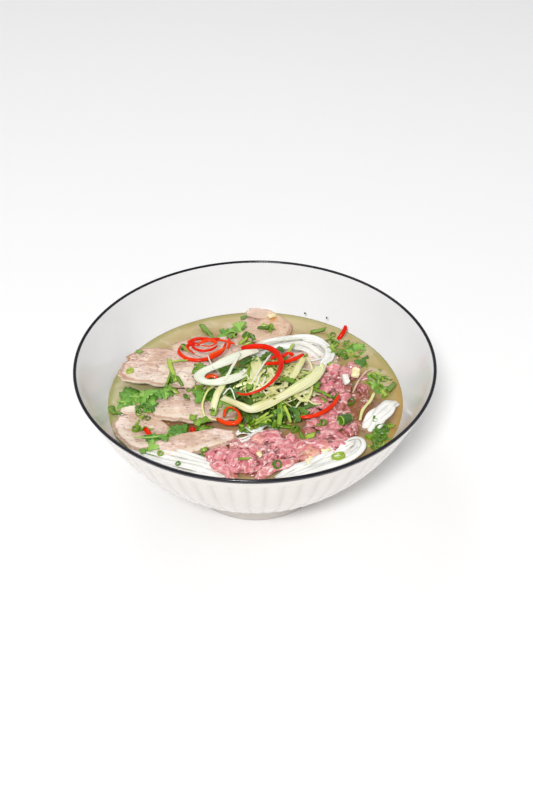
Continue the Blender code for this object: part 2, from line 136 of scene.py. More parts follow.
class Finish(Nodes):
    """A procedural finish: a Principled shader and the nodes that colour and roughen it."""

    def __init__(self, name, soft=0.0, depths=(), **constants):
        """Soft is how much light goes into the surface, to these depths in mm for each colour."""
        self.material = bpy.data.materials.new(name)
        self.material.use_nodes = True
        super().__init__(self.material.node_tree)
        self.shader = self.tree.nodes["Principled BSDF"]
        if soft:
            depths = [depth * MM for depth in depths]
            constants.update(Subsurface_Weight=soft, Subsurface_Radius=depths)
        for label, value in constants.items():
            self.shader.inputs[label.replace("_", " ")].default_value = value
        self.place = self.add("ShaderNodeTexCoord")["Object"]
        self.axes = self.add("ShaderNodeSeparateXYZ", {"Vector": self.place})

    def stretched(self, scale, turn=(0, 0, 0)):
        """The place on the piece, turned by these degrees and scaled along each axis."""
        angles = [math.radians(angle) for angle in turn]
        inputs = {"Vector": self.place, "Scale": scale, "Rotation": angles}
        return self.add("ShaderNodeMapping", inputs)["Vector"]

    def noise(self, scale, detail=3.0, rough=0.55, warp=0.0, at=None):
        inputs = {"Vector": at or self.place, "Scale": scale, "Detail": detail}
        inputs.update({"Roughness": rough, "Distortion": warp})
        return self.add("ShaderNodeTexNoise", inputs)["Fac"]

    def cells(self, scale, at=None):
        return self.add("ShaderNodeTexVoronoi", {"Vector": at or self.place, "Scale": scale})["Distance"]

    def said(self, name):
        """A number that the piece carries at each point."""
        return self.add("ShaderNodeAttribute", attribute_name=name)["Fac"]

    def ramp(self, value, *stops):
        """A colour by the value, from stops that each give a value and a colour."""
        made = self.add("ShaderNodeValToRGB", {"Fac": value})["Color"]
        spots = made.node.color_ramp.elements
        while len(spots) < len(stops):
            spots.new(0.5)
        for spot, (position, *color) in zip(spots, stops):
            spot.position = position
            spot.color = tint(*color)
        return made

    def away(self, spot):
        """The distance from this spot."""
        return self.add("ShaderNodeVectorMath", {0: self.place, 1: spot}, operation="DISTANCE")["Value"]

    def near(self, spot, inner, outer):
        """1 within the inner distance of this spot, and 0 past the outer one."""
        return self.step(self.away(spot), outer, inner)

    def mix(self, share, first, second, blend="MIX"):
        inputs = {0: share, 6: first, 7: second}
        return self.add("ShaderNodeMix", inputs, data_type="RGBA", blend_type=blend)[2]

    def stain(self, color, mask, share, *over):
        """The colour, with this share of another over it where the mask is."""
        return self.mix(self.times(mask, share), color, tint(*over))

    def color(self, value):
        self.put(self.shader.inputs["Base Color"], value)

    def alpha(self, value):
        self.put(self.shader.inputs["Alpha"], value)

    def spread(self, value, low, high):
        """From low to high as the value goes from 0 to 1."""
        return self.add("ShaderNodeMapRange", {"Value": value, "To Min": low, "To Max": high})["Result"]

    def rough(self, value, low, high):
        self.put(self.shader.inputs["Roughness"], self.spread(value, low, high))

    def bumped(self, *layers):
        """The finish, with relief from (height, depth in metres) layers, the coarsest first."""
        under = {}
        for height, depth in layers:
            inputs = {"Height": height, "Distance": depth, "Strength": 1.0, **under}
            under = {"Normal": self.add("ShaderNodeBump", inputs)["Normal"]}
        self.put(self.shader.inputs["Normal"], under["Normal"])
        return self.material


def glaze_finish():
    made = Finish("white_glaze", Coat_Weight=0.35, Coat_Roughness=0.06)
    cloud = made.noise(28, 2)
    # Painted shade: the outside gets a darker, warmer copy of the inside's glaze colour.
    inner = made.mix(cloud, tint(231, 231, 233), tint(236, 236, 237))
    outer = made.mix(cloud, tint(221, 215, 209), tint(227, 221, 215))
    color = made.mix(made.said("outside"), inner, outer)
    # Painted shade: the glaze is darkened in the flute grooves.
    color = made.stain(color, made.said("groove"), 0.55, 200, 192, 183)
    # Painted shade: the outside is darkened towards the foot, below the belly.
    foot = made.times(made.step(made.axes["Z"], 0.0175, 0.0145), made.said("outside"))
    color = made.stain(color, foot, 0.9, 196, 188, 180)
    speck = made.step(made.cells(900), 0.10, 0.16)
    dot = made.times(made.rest(speck), made.step(made.noise(140, 1), 0.72, 0.78))
    made.color(made.stain(color, dot, 0.35, 196, 190, 184))
    made.rough(made.noise(60, 2), 0.10, 0.20)
    return made.bumped((made.noise(22, 2), 0.00025), (made.noise(300, 2), 0.00002))


def line_finish():
    made = Finish("rim_line_glaze", Coat_Weight=0.15, Coat_Roughness=0.08, Specular_IOR_Level=0.3)
    made.color(made.mix(made.noise(160, 3), tint(16, 16, 24), tint(30, 30, 42)))
    made.rough(made.noise(90, 2), 0.14, 0.28)
    return made.bumped((made.noise(120, 2), 0.00006))


BLOODY_PLACE = (0.062, -0.012, 0.0662)
BROWN_PLACE = (-0.048, -0.031, 0.0662)


def broth_finish():
    """Broth: brown in its middle, greener to the sides, oily at the wall, clearer over the meat."""
    made = Finish("clear_broth", IOR=1.34, Coat_Weight=0.4, Coat_Roughness=0.03)
    across, ahead = made.axes["X"], made.axes["Y"]
    flat = made.add("ShaderNodeCombineXYZ", {"X": across, "Y": ahead})["Vector"]
    radius = made.add("ShaderNodeVectorMath", {0: flat}, operation="LENGTH")["Value"]
    cloud = made.noise(26, 3, warp=0.4)
    reach = made.blend(cloud, 0.010, made.calc("SUBTRACT", radius, 0.005))
    middle = made.ramp(cloud, (0.30, 164, 112, 70), (0.52, 190, 148, 100), (0.75, 212, 184, 138))
    edge = made.ramp(cloud, (0.35, 188, 166, 108), (0.65, 206, 186, 136))
    color = made.mix(made.step(reach, 0.066, 0.084), middle, edge)
    left = made.step(made.blend(cloud, -0.02, across), -0.062, -0.088)
    right = made.step(made.blend(cloud, 0.03, across), 0.050, 0.082)
    pale = made.step(made.noise(42, 4, 0.6, 1.2), 0.52, 0.68)
    corner = made.step(made.calc("SUBTRACT", across, ahead), 0.105, 0.125)
    bloody = made.blend(cloud, -0.030, made.away(BLOODY_PLACE))
    bloody = made.rest(made.step(bloody, 0.000, 0.020))
    between = made.step(made.blend(cloud, -0.020, made.away(BROWN_PLACE)), 0.024, 0.006)
    near_right = made.times(made.step(across, 0.050, 0.085), made.rest(made.step(ahead, 0.0, 0.035)))
    oily = made.times(made.step(radius, 0.0868, 0.0912), near_right)
    for mask, share, over in (
        (left, 1.0, (190, 186, 132)),
        (right, 0.85, (188, 168, 104)),
        (pale, 0.5, (230, 216, 190)),
        (corner, 0.8, (150, 120, 56)),
        (made.step(radius, 0.0895, 0.0926), 0.6, (160, 158, 88)),
        (bloody, 0.80, (160, 92, 58)),
        (between, 0.75, (146, 88, 50)),
        (oily, 0.5, (205, 150, 74)),
    ):
        color = made.stain(color, mask, share, *over)
    made.color(color)
    made.alpha(made.blend(bloody, -0.22, made.spread(made.step(reach, 0.070, 0.093), 0.74, 0.84)))
    made.rough(made.noise(50, 2), 0.03, 0.09)
    return made.bumped((made.noise(36, 2), 0.0006), (made.noise(160, 2), 0.00012))


def oil_finish():
    made = Finish("oil_drop", IOR=1.46, Roughness=0.04, Coat_Weight=0.5, Coat_Roughness=0.02)
    made.color(made.mix(made.noise(120, 2), tint(212, 178, 96), tint(226, 200, 130)))
    made.alpha(0.42)
    return made.material


def noodle_finish():
    made = Finish("wet_rice_noodle", 0.5, (4.0, 3.8, 3.4), Coat_Weight=0.4, Coat_Roughness=0.12)
    white = made.ramp(made.noise(70, 3), (0.3, 222, 222, 216), (0.6, 243, 243, 240))
    made.color(made.stain(white, made.said("shade"), 0.55, 226, 219, 200))
    made.rough(made.noise(200, 2), 0.20, 0.38)
    return made.bumped((made.noise(450, 3, at=made.stretched((1, 1, 0.5))), 0.00010))


# Where the back slice is tan, greyish and fatty: the spot, how far the colour reaches and where
# it has faded, its share, and the colour.
BACK_SLICE_PATCHES = (
    ((0.0070, 0.0680, 0.0720), 0.010, 0.028, 0.50, (208, 168, 126)),
    ((0.0010, 0.0785, 0.0755), 0.003, 0.009, 0.40, (192, 156, 150)),
    ((0.0125, 0.0770, 0.0740), 0.001, 0.0045, 0.80, (214, 142, 48)),
)


def cooked_beef_finish():
    """Cooked beef: grain, pores, tan and pale areas, a browned edge, and thin lines of fat."""
    made = Finish("cooked_beef", 0.08, (2.0, 1.0, 0.6), Coat_Weight=0.22, Coat_Roughness=0.25)
    grain = made.noise(380, 5, 0.68, 0.6, at=made.stretched((0.45, 1.5, 1), (0, 0, 8)))
    cloud = made.noise(60, 3, warp=0.6)
    mottle = made.noise(420, 3, 0.6, 0.3, at=made.stretched((0.7, 1.2, 1), (0, 0, 8)))
    tone = made.blend(mottle, 0.26, made.blend(grain, 0.42, made.times(cloud, 0.34)))
    flesh = made.ramp(
        tone, (0.38, 172, 132, 114), (0.46, 206, 172, 154), (0.54, 231, 205, 190), (0.63, 246, 231, 220)
    )
    pore = made.step(made.cells(400, at=made.stretched((0.8, 1.3, 1), (0, 0, 14))), 0.12, 0.30)
    dark = made.times(made.rest(pore), made.step(made.noise(120, 2), 0.42, 0.56))
    wide = made.noise(34, 3, 0.6, 0.8)
    edge = made.blend(made.calc("SUBTRACT", mottle, 0.5), 0.9, made.said("edge"))
    fat = made.noise(48, 2, warp=1.4, at=made.stretched((1, 2.2, 1), (0, 0, 40)))
    masks = [
        (dark, 0.70, (138, 94, 76)),
        (made.step(wide, 0.48, 0.68), 0.55, (202, 164, 132)),
        (made.step(wide, 0.46, 0.28), 0.5, (240, 222, 210)),
        (made.said("fat"), 0.65, (234, 220, 200)),
        (made.step(edge, 0.42, 0.95), 0.72, (164, 116, 88)),
        (made.step(fat, 0.66, 0.72), 0.5, (232, 212, 178)),
    ]
    for spot, reach, faded, share, over in BACK_SLICE_PATCHES:
        masks.append((made.near(spot, reach, faded), share, over))
    for mask, share, over in masks:
        flesh = made.stain(flesh, mask, share, *over)
    made.color(flesh)
    made.rough(grain, 0.36, 0.58)
    return made.bumped((cloud, 0.0004), (grain, 0.00055), (made.times(dark, -1.0), 0.00040))


SINGED_PLACE = (0.0330, -0.0560, 0.0740)


def rare_beef_finish():
    """Rare beef: pink, browner where it is sunk, with painted shade dark in its creases, pale fat, and pale
    edges that are partly fat and partly a painted wet highlight.
    """
    made = Finish("rare_beef", 0.12, (2.6, 0.9, 0.8), Coat_Weight=0.55, Coat_Roughness=0.12)
    grain = made.noise(420, 4, 0.66, 0.8, at=made.stretched((0.6, 1.5, 1), (0, 0, 30)))
    cloud = made.noise(150, 3, warp=0.8)
    tone = made.blend(grain, 0.40, made.times(cloud, 0.62))
    flesh = made.ramp(
        tone, (0.34, 162, 76, 84), (0.46, 202, 108, 116), (0.58, 222, 142, 146), (0.72, 240, 206, 204)
    )
    lift, across = made.said("lift"), made.said("across")
    fat = made.noise(150, 4, warp=1.6, at=made.stretched((0.6, 1.6, 1), (0, 0, 20)))
    singed = made.times(made.near(SINGED_PLACE, 0.002, 0.011), made.step(cloud, 0.40, 0.60))
    wavy = made.calc("SINE", made.blend(cloud, 6.0, made.times(across, 8.0)))
    for mask, share, over in (
        (made.rest(lift), 0.85, (152, 88, 66)),
        # Painted shade: dark red in the creases, by how closed in each point is.
        (made.step(made.said("dip"), 0.12, 0.75), 0.85, (122, 40, 42)),
        (made.step(fat, 0.55, 0.64), 0.75, (246, 222, 216)),
        (made.step(made.noise(55, 3, 0.6, 1.0), 0.58, 0.70), 0.40, (218, 164, 130)),
        (singed, 0.85, (214, 168, 118)),
        (made.times(made.step(wavy, 0.55, 1.0), lift), 0.40, (240, 196, 190)),
        # Paler strip edges above the broth: partly pale fat, partly a painted wet highlight.
        (made.times(made.step(made.calc("ABSOLUTE", across), 0.80, 1.0), lift), 0.5, (236, 186, 176)),
    ):
        flesh = made.stain(flesh, mask, share, *over)
    made.color(flesh)
    made.rough(grain, 0.20, 0.42)
    return made.bumped((cloud, 0.0005), (grain, 0.00030))


def scallion_finish(name, light, middle, dark, veins=1.0):
    """Wet scallion: light, middle and dark by each shred's own shade, with fine veins along it."""
    made = Finish(name, 0.12, (1.2, 1.6, 0.6), Coat_Weight=0.4, Coat_Roughness=0.12)
    cloud, across = made.noise(90, 2), made.said("across")
    shade = made.blend(made.calc("SUBTRACT", cloud, 0.5), 0.5, made.said("shade"))
    color = made.ramp(shade, (0.0, *light), (0.45, *middle), (1.0, *dark))
    stripe = made.calc("SINE", made.blend(across, 17.0, made.times(cloud, 5.0)))
    vein = made.times(made.step(stripe, 0.2, 1.0), 0.40 * veins)
    color = made.mix(vein, color, tint(*middle), "MULTIPLY")
    made.color(made.stain(color, made.step(made.calc("ABSOLUTE", across), 0.45, 1.0), 0.40, *dark))
    made.rough(cloud, 0.24, 0.42)
    return made.bumped((stripe, 0.000008 * veins), (made.noise(500, 2), 0.00003))


def herb_finish():
    made = Finish("fresh_herb", Coat_Weight=0.18, Coat_Roughness=0.25)
    cloud, vein = made.noise(170, 3), made.said("vein")
    shade = made.blend(made.calc("SUBTRACT", cloud, 0.5), 0.7, made.said("shade"))
    color = made.ramp(shade, (0.1, 144, 188, 84), (0.5, 106, 158, 56), (0.95, 62, 112, 36))
    made.color(made.stain(color, made.step(vein, 0.80, 0.97), 0.55, 152, 184, 104))
    made.rough(cloud, 0.34, 0.52)
    return made.bumped((vein, 0.00012), (made.noise(420, 2), 0.00010))


def chili_finish():
    made = Finish(
        "fresh_chili", 0.06, (2.0, 0.4, 0.2), Coat_Weight=0.10, Coat_Roughness=0.06, Specular_IOR_Level=0.12
    )
    cloud = made.noise(110, 2)
    skin = made.ramp(cloud, (0.3, 206, 22, 0), (0.7, 232, 44, 4))
    flesh = made.ramp(cloud, (0.3, 228, 60, 18), (0.7, 240, 104, 44))
    color = made.mix(made.step(made.said("inner"), 0.35, 0.75), skin, flesh)
    made.color(made.stain(color, made.said("shade"), 0.8, 236, 92, 30))
    made.rough(cloud, 0.14, 0.28)
    return made.bumped((made.noise(240, 2), 0.00012))


def cream_finish(name, light, dark, gloss):
    made = Finish(name, 0.2, (2.0, 1.7, 1.2), Coat_Weight=gloss, Coat_Roughness=0.15)
    cloud = made.noise(240, 4, warp=0.5)
    made.color(made.ramp(cloud, (0.35, *dark), (0.6, *light)))
    made.rough(cloud, 0.30, 0.48)
    return made.bumped((cloud, 0.00025))


GLAZE, LINE_GLAZE, BROTH, OIL = glaze_finish(), line_finish(), broth_finish(), oil_finish()
NOODLE, COOKED_BEEF, RARE_BEEF_LOOK = noodle_finish(), cooked_beef_finish(), rare_beef_finish()
HERB, CHILI = herb_finish(), chili_finish()
SCALLION_WHITE = scallion_finish("scallion_white", (236, 237, 224), (222, 228, 203), (202, 213, 164), 1.5)
SCALLION_PALE = scallion_finish("scallion_pale", (240, 238, 206), (222, 220, 148), (160, 180, 70))
SCALLION_GREEN = scallion_finish("scallion_green", (184, 204, 80), (122, 162, 36), (52, 96, 16))
GARLIC_LOOK = cream_finish("moist_garlic", (250, 238, 198), (236, 214, 152), 0.25)
ONION = cream_finish("moist_onion", (247, 246, 240), (230, 228, 216), 0.4)
HEAP_SHADOW = cream_finish("heap_shadow", (84, 104, 34), (48, 64, 20), 0.0)
STEM = cream_finish("pale_stem_skin", (226, 192, 170), (204, 158, 138), 0.3)
SPECK = cream_finish("herb_speck", (88, 110, 70), (58, 76, 54), 0.0)

# ---- making meshes


def linked(name, data):
    """An object of this mesh, light or camera, in the scene."""
    made = bpy.data.objects.new(name, data)
    bpy.context.scene.collection.objects.link(made)
    return made


def mark(mesh, label, values):
    """Stores a number, or a turn, for each point of the mesh."""
    if len(values) and isinstance(values[0], Vector):
        layer = mesh.attributes.new(label, "FLOAT_VECTOR", "POINT")
        layer.data.foreach_set("vector", [number for value in values for number in value])
    else:
        mesh.attributes.new(label, "FLOAT", "POINT").data.foreach_set("value", values)


def mesh_piece(name, points, faces, finish, said=None):
    """An object at the origin from these points and faces, with the numbers it carries."""
    mesh = bpy.data.meshes.new(name)
    mesh.from_pydata(points, [], faces)
    mesh.validate()
    for label, values in (said or {}).items():
        mark(mesh, label, values)
    if finish:
        mesh.materials.append(finish)
    mesh.shade_smooth()
    return linked(name, mesh)


def disc_faces(rings, spokes, apart=True):
    """Faces of an upper and a lower disc, each a centre and rings, joined where they are apart."""
    layer = 1 + rings * spokes
    edge = layer - spokes
    turns = [(spoke, (spoke + 1) % spokes) for spoke in range(spokes)]
    faces = []
    for start in (0, layer):
        for spoke, after in turns:
            faces.append((start, start + 1 + spoke, start + 1 + after))
            for low in range(start + 1, start + edge, spokes):
                faces.append((low + spoke, low + spokes + spoke, low + spokes + after, low + after))
    if apart:
        for spoke, after in turns:
            faces.append((edge + spoke, layer + edge + spoke, layer + edge + after, edge + after))
    return faces


def around(count):
    """The angle, cosine and sine of this many even steps round a circle."""
    for step in range(count):
        angle = math.tau * step / count
        yield angle, math.cos(angle), math.sin(angle)


def evenly(count):
    """That many even places from -1 to 1."""
    return [2 * index / (count - 1) - 1 for index in range(count)]


def placed(points):
    """Points in metres from points in mm."""
    return [Vector([number * MM for number in point]) for point in points]


def posed(centre, yaw, pitch=0.0, roll=0.0):
    """The move to this centre, after a roll about X, a pitch about Y and a yaw about Z."""
    move = Matrix.Translation(centre)
    for angle, axis in ((yaw, "Z"), (pitch, "Y"), (roll, "X")):
        move = move @ Matrix.Rotation(math.radians(angle), 4, axis)
    return move


class Heap:
    """Points, faces and carried numbers of many shapes that end up in one piece."""

    def __init__(self, *labels):
        self.points, self.faces = [], []
        self.said = {label: [] for label in labels}

    def take(self, points, faces, **said):
        start = len(self.points)
        self.points.extend(points)
        self.faces.extend([tuple(start + index for index in face) for face in faces])
        for label, store in self.said.items():
            value = said.get(label, 0.0)
            store.extend(value if isinstance(value, list) else [value] * len(points))

    def loft(self, rings, **said):
        """A closed tube through rings of equally many points, with its two ends capped."""
        count = len(rings[0])
        points = [point for ring in rings for point in ring]
        faces = []
        for row in range(len(rings) - 1):
            for index in range(count):
                after = (index + 1) % count
                low, high = row * count, (row + 1) * count
                faces.append((low + index, low + after, high + after, high + index))
        ends = [Vector(), Vector()]
        for end, ring in zip(ends, (rings[0], rings[-1])):
            for point in ring:
                end += point / count
        points.extend(ends)
        first, last = len(points) - 2, len(points) - 1
        high = (len(rings) - 1) * count
        for index in range(count):
            after = (index + 1) % count
            faces.append((first, after, index))
            faces.append((last, high + index, high + after))
        for label, value in said.items():
            if isinstance(value, list):
                said[label] = value + [value[0], value[-1]]
        self.take(points, faces, **said)

    def sheet(self, rows, places, **said):
        """A closed sheet from rows, each of middles and half thicknesses at these places across."""
        rings = []
        for row in rows:
            upper = [middle + half for middle, half in row]
            rings.append(upper + [middle - half for middle, half in reversed(row)])
        self.loft(rings, across=(places + places[::-1]) * len(rows), **said)

    def piece(self, name, finish):
        """One object of all the shapes, their faces turned outwards."""
        return outward(mesh_piece(name, self.points, self.faces, finish, self.said))


def outward(obj, joined=False):
    """Turns every face of the object's closed shells outwards, its coinciding points joined."""
    work = bmesh.new()
    work.from_mesh(obj.data)
    if joined:
        bmesh.ops.remove_doubles(work, verts=work.verts, dist=0.00001)
    bmesh.ops.recalc_face_normals(work, faces=work.faces)
    work.to_mesh(obj.data)
    work.free()
    return obj


def refine(obj):
    """The object with its faces split once and smoothed."""
    modifier = obj.modifiers.new("Soften", "SUBSURF")
    modifier.levels = modifier.render_levels = 1
    graph = bpy.context.evaluated_depsgraph_get()
    mesh = bpy.data.meshes.new_from_object(obj.evaluated_get(graph))
    obj.modifiers.clear()
    obj.data = mesh
    mesh.shade_smooth()
    return obj


def roughen(obj, *layers):
    """Moves each point along its normal by layers of noise, each with its scale and depth."""
    places = []
    for vertex in obj.data.vertices:
        depth = sum(height * noise.noise(vertex.co * scale) for scale, height in layers)
        places.extend(vertex.co + vertex.normal * depth)
    obj.data.vertices.foreach_set("co", places)
    obj.data.update()
    return obj


def served(obj, slot, *nodes):
    """The piece rides in the bowl and stands for these nodes; the slot is not used."""
    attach(obj, "root")
    if nodes:
        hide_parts(*nodes)
    return obj


def through(points, count):
    """That many points on the smooth curve through the given ones, evenly spread."""
    known = [Vector(point) for point in points]
    known = [known[0] * 2 - known[1], *known, known[-1] * 2 - known[-2]]
    spans = len(known) - 3
    fine = []
    for index in range(spans * 12 + 1):
        span = min(spans - 1, index // 12)
        share = index / 12 - span
        before, start, end, after = known[span : span + 4]
        fine.append(
            0.5
            * (
                2 * start
                + (end - before) * share
                + (2 * before - 5 * start + 4 * end - after) * share**2
                + (3 * start - before - 3 * end + after) * share**3
            )
        )
    lengths = [0.0]
    for first, second in zip(fine, fine[1:]):
        lengths.append(lengths[-1] + (second - first).length)
    result, spot = [], 0
    for index in range(count):
        wanted = lengths[-1] * index / (count - 1)
        while spot < len(fine) - 2 and lengths[spot + 1] < wanted:
            spot += 1
        width = max(1e-9, lengths[spot + 1] - lengths[spot])
        result.append(fine[spot].lerp(fine[spot + 1], (wanted - lengths[spot]) / width))
    return result


def frames(path):
    """For each point of the path: its direction, its side and its upward normal."""
    result = []
    for index, _ in enumerate(path):
        ahead = path[min(index + 1, len(path) - 1)] - path[max(index - 1, 0)]
        ahead.normalize()
        side = ahead.cross(Vector((0, 0, 1)))
        if side.length < 1e-4:
            side = Vector((1, 0, 0))
        side.normalize()
        result.append((ahead, side, side.cross(ahead).normalized()))
    return result


# ---- Geometry Nodes trees


class Tree(Nodes):
    """A Geometry Nodes tree with named inputs, ending in Realize Instances and Set Material."""

    def __init__(self, name, **inputs):
        """Each input gives its default number, or the kind of what goes into it."""
        super().__init__(bpy.data.node_groups.new(name, "GeometryNodeTree"))
        face = self.tree.interface
        face.new_socket("Geometry", in_out="INPUT", socket_type="NodeSocketGeometry")
        self.ids = {}
        for label, default in {**inputs, "Finish": "Material"}.items():
            kind = {float: "Float", int: "Int"}.get(type(default), default)
            made = face.new_socket(label.replace("_", " "), in_out="INPUT", socket_type=f"NodeSocket{kind}")
            if kind != default:
                made.default_value = default
            self.ids[label] = made.identifier
        face.new_socket("Geometry", in_out="OUTPUT", socket_type="NodeSocketGeometry")
        self.given = self.add("NodeGroupInput")

    def said(self, label, kind="FLOAT"):
        return self.add("GeometryNodeInputNamedAttribute", {"Name": label}, data_type=kind)["Attribute"]

    def marked(self, geometry, label, value):
        """The geometry, with this number stored for each of its points."""
        inputs = {"Geometry": geometry, "Name": label, "Value": value}
        made = self.add("GeometryNodeStoreNamedAttribute", inputs, data_type="FLOAT", domain="POINT")
        return made["Geometry"]

    def parts(self):
        """How far along X, Y and Z each point is."""
        place = self.add("GeometryNodeInputPosition")["Position"]
        return self.add("ShaderNodeSeparateXYZ", {"Vector": place})

    def end(self, geometry):
        real = self.add("GeometryNodeRealizeInstances", {"Geometry": geometry})["Geometry"]
        dressed = {"Geometry": real, "Material": self.given["Finish"]}
        done = self.add("GeometryNodeSetMaterial", dressed)["Geometry"]
        self.add("NodeGroupOutput", {"Geometry": done})
        return self

    def grow(self, source, name, **values):
        """A plain mesh object of what the tree makes of the source, which is used up."""
        modifier = source.modifiers.new(self.tree.name, "NODES")
        modifier.node_group = self.tree
        for label, value in values.items():
            modifier[self.ids[label]] = value
        graph = bpy.context.evaluated_depsgraph_get()
        mesh = bpy.data.meshes.new_from_object(source.evaluated_get(graph))
        source.modifiers.remove(modifier)
        bpy.data.objects.remove(source)
        mesh.name = name
        mesh.shade_smooth()
        return linked(name, mesh)


def flute_tree():
    """Presses a groove between each two flutes into the outside of a turned bowl."""
    tree = Tree(
        "fluted_bowl", Flutes=36.0, Depth=0.0009, Low_End=0.0165, High_End=0.0900, Scallop=0.0020, Fade=0.0050
    )
    given, parts = tree.given, tree.parts()
    angle = tree.calc("ARCTAN2", parts["Y"], parts["X"])
    swell = tree.calc("ABSOLUTE", tree.calc("SINE", tree.times(angle, tree.times(given["Flutes"], 0.5))))
    groove = tree.calc("POWER", tree.rest(swell), 1.35)
    end = tree.calc("SUBTRACT", given["Low End"], tree.times(swell, given["Scallop"]))
    low = tree.step(parts["Z"], end, tree.calc("ADD", end, tree.times(given["Fade"], 0.35)))
    full = tree.calc("SUBTRACT", given["High End"], given["Fade"])
    high = tree.step(parts["Z"], given["High End"], full)
    depth = tree.times(tree.times(groove, given["Depth"]), tree.times(low, high))
    depth = tree.times(depth, tree.said("outside"))
    flat = tree.add("ShaderNodeCombineXYZ", {"X": parts["X"], "Y": parts["Y"]})["Vector"]
    out = tree.add("ShaderNodeVectorMath", {0: flat}, operation="NORMALIZE")["Vector"]
    back = {0: out, "Scale": tree.times(depth, -1.0)}
    offset = tree.add("ShaderNodeVectorMath", back, operation="SCALE")["Vector"]
    marked = tree.marked(given["Geometry"], "groove", tree.calc("DIVIDE", depth, given["Depth"]))
    return tree.end(tree.add("GeometryNodeSetPosition", {"Geometry": marked, "Offset": offset})["Geometry"])


def strand_tree():
    """Strands along lines: a flattened round section as wide as each line's own width."""
    tree = Tree("strands_along_lines", Flatness=0.4, Sides=8, Step=0.0016)
    given = tree.given
    lines = tree.add("GeometryNodeMeshToCurve", {"Mesh": given["Geometry"]})["Curve"]
    bent = tree.add("GeometryNodeCurveSplineType", {"Curve": lines}, spline_type="CATMULL_ROM")["Curve"]
    even = {"Curve": bent, "Length": given["Step"]}
    even = tree.add("GeometryNodeResampleCurve", even, mode="LENGTH")["Curve"]
    level = tree.add("GeometryNodeSetCurveNormal", {"Curve": even}, mode="Z_UP")["Curve"]
    tilted = tree.add("GeometryNodeSetCurveTilt", {"Curve": level, "Tilt": tree.said("tilt")})["Curve"]
    circle = {"Resolution": given["Sides"], "Radius": 0.5}
    circle = tree.add("GeometryNodeCurvePrimitiveCircle", circle)["Curve"]
    marked = tree.marked(circle, "across", tree.times(tree.parts()["X"], 2.0))
    squeeze = tree.add("ShaderNodeCombineXYZ", {"X": 1.0, "Y": given["Flatness"], "Z": 1.0})["Vector"]
    section = tree.add("GeometryNodeTransform", {"Geometry": marked, "Scale": squeeze})["Geometry"]
    swept = {"Curve": tilted, "Profile Curve": section, "Fill Caps": True, "Scale": tree.said("width")}
    return tree.end(tree.add("GeometryNodeCurveToMesh", swept)["Mesh"])


def scatter_tree():
    """One small shape at each point, turned, sized and shaded as the point says."""
    tree = Tree("scattered_bits", Shape="Object", Size=1.0)
    shape = tree.add("GeometryNodeObjectInfo", {"Object": tree.given["Shape"]})["Geometry"]
    turn = {"Euler": tree.said("turn", "FLOAT_VECTOR")}
    turn = tree.add("FunctionNodeEulerToRotation", turn)["Rotation"]
    size = tree.times(tree.said("size"), tree.given["Size"])
    dropped = {"Points": tree.given["Geometry"], "Instance": shape, "Rotation": turn, "Scale": size}
    return tree.end(tree.add("GeometryNodeInstanceOnPoints", dropped)["Instances"])


def drop_tree():
    """Flat round drops spread over a surface, none closer than their least distance."""
    tree = Tree("drops_on_surface", Spacing=0.004, Density=30000.0, Smallest=0.0003, Largest=0.0011, Seed=1)
    given = tree.given
    spread = {"Mesh": given["Geometry"], "Distance Min": given["Spacing"], "Seed": given["Seed"]}
    spread["Density Max"] = given["Density"]
    points = tree.add("GeometryNodeDistributePointsOnFaces", spread, distribute_method="POISSON")["Points"]
    ball = tree.add("GeometryNodeMeshUVSphere", {"Segments": 8, "Rings": 4, "Radius": 1.0})["Mesh"]
    drop = tree.add("GeometryNodeTransform", {"Geometry": ball, "Scale": (1.0, 1.0, 0.22)})["Geometry"]
    spread = {2: given["Smallest"], 3: given["Largest"], "Seed": given["Seed"]}
    size = tree.add("FunctionNodeRandomValue", spread, data_type="FLOAT")
    size = next(output for output in size if output.enabled)
    dropped = {"Points": points, "Instance": drop, "Scale": size}
    return tree.end(tree.add("GeometryNodeInstanceOnPoints", dropped)["Instances"])


FLUTE_TREE = flute_tree()
STRAND_TREE = strand_tree()
SCATTER_TREE = scatter_tree()
DROP_TREE = drop_tree()


class Lines:
    """Lines that the strand tree follows, each with its width, tilt and shade."""

    def __init__(self):
        self.points, self.edges = [], []
        self.said = {"width": [], "tilt": [], "shade": []}

    def take(self, points, width, tilt=0.0, shade=0.0, taper=0.0):
        """Adds a line. The taper is how much narrower its ends are, from 0 to 1."""
        start = len(self.points)
        count = len(points)
        self.points.extend(points)
        self.edges.extend([(start + index, start + index + 1) for index in range(count - 1)])
        for index in range(count):
            share = abs(2 * index / (count - 1) - 1)
            self.said["width"].append(width * (1 - taper * share**4))
            self.said["tilt"].append(tilt(index / (count - 1)) if callable(tilt) else tilt)
            self.said["shade"].append(shade)

    def strands(self, name, finish, flatness, step=0.0016):
        mesh = bpy.data.meshes.new("lines")
        mesh.from_pydata(self.points, self.edges, [])
        for label, values in self.said.items():
            mark(mesh, label, values)
        values = {"Flatness": flatness, "Sides": 8, "Step": step, "Finish": finish}
        return STRAND_TREE.grow(linked("lines", mesh), name, **values)


# ---- the bowl


def smooth_wall(stations, spacing):
    """(radius, height) points on a smooth curve through the stations."""
    known = [(radius, 0.0, height) for radius, height in stations]
    length = sum(math.dist(first, second) for first, second in zip(known, known[1:]))
    return [(point.x, point.z) for point in through(known, max(3, round(length / spacing)))]


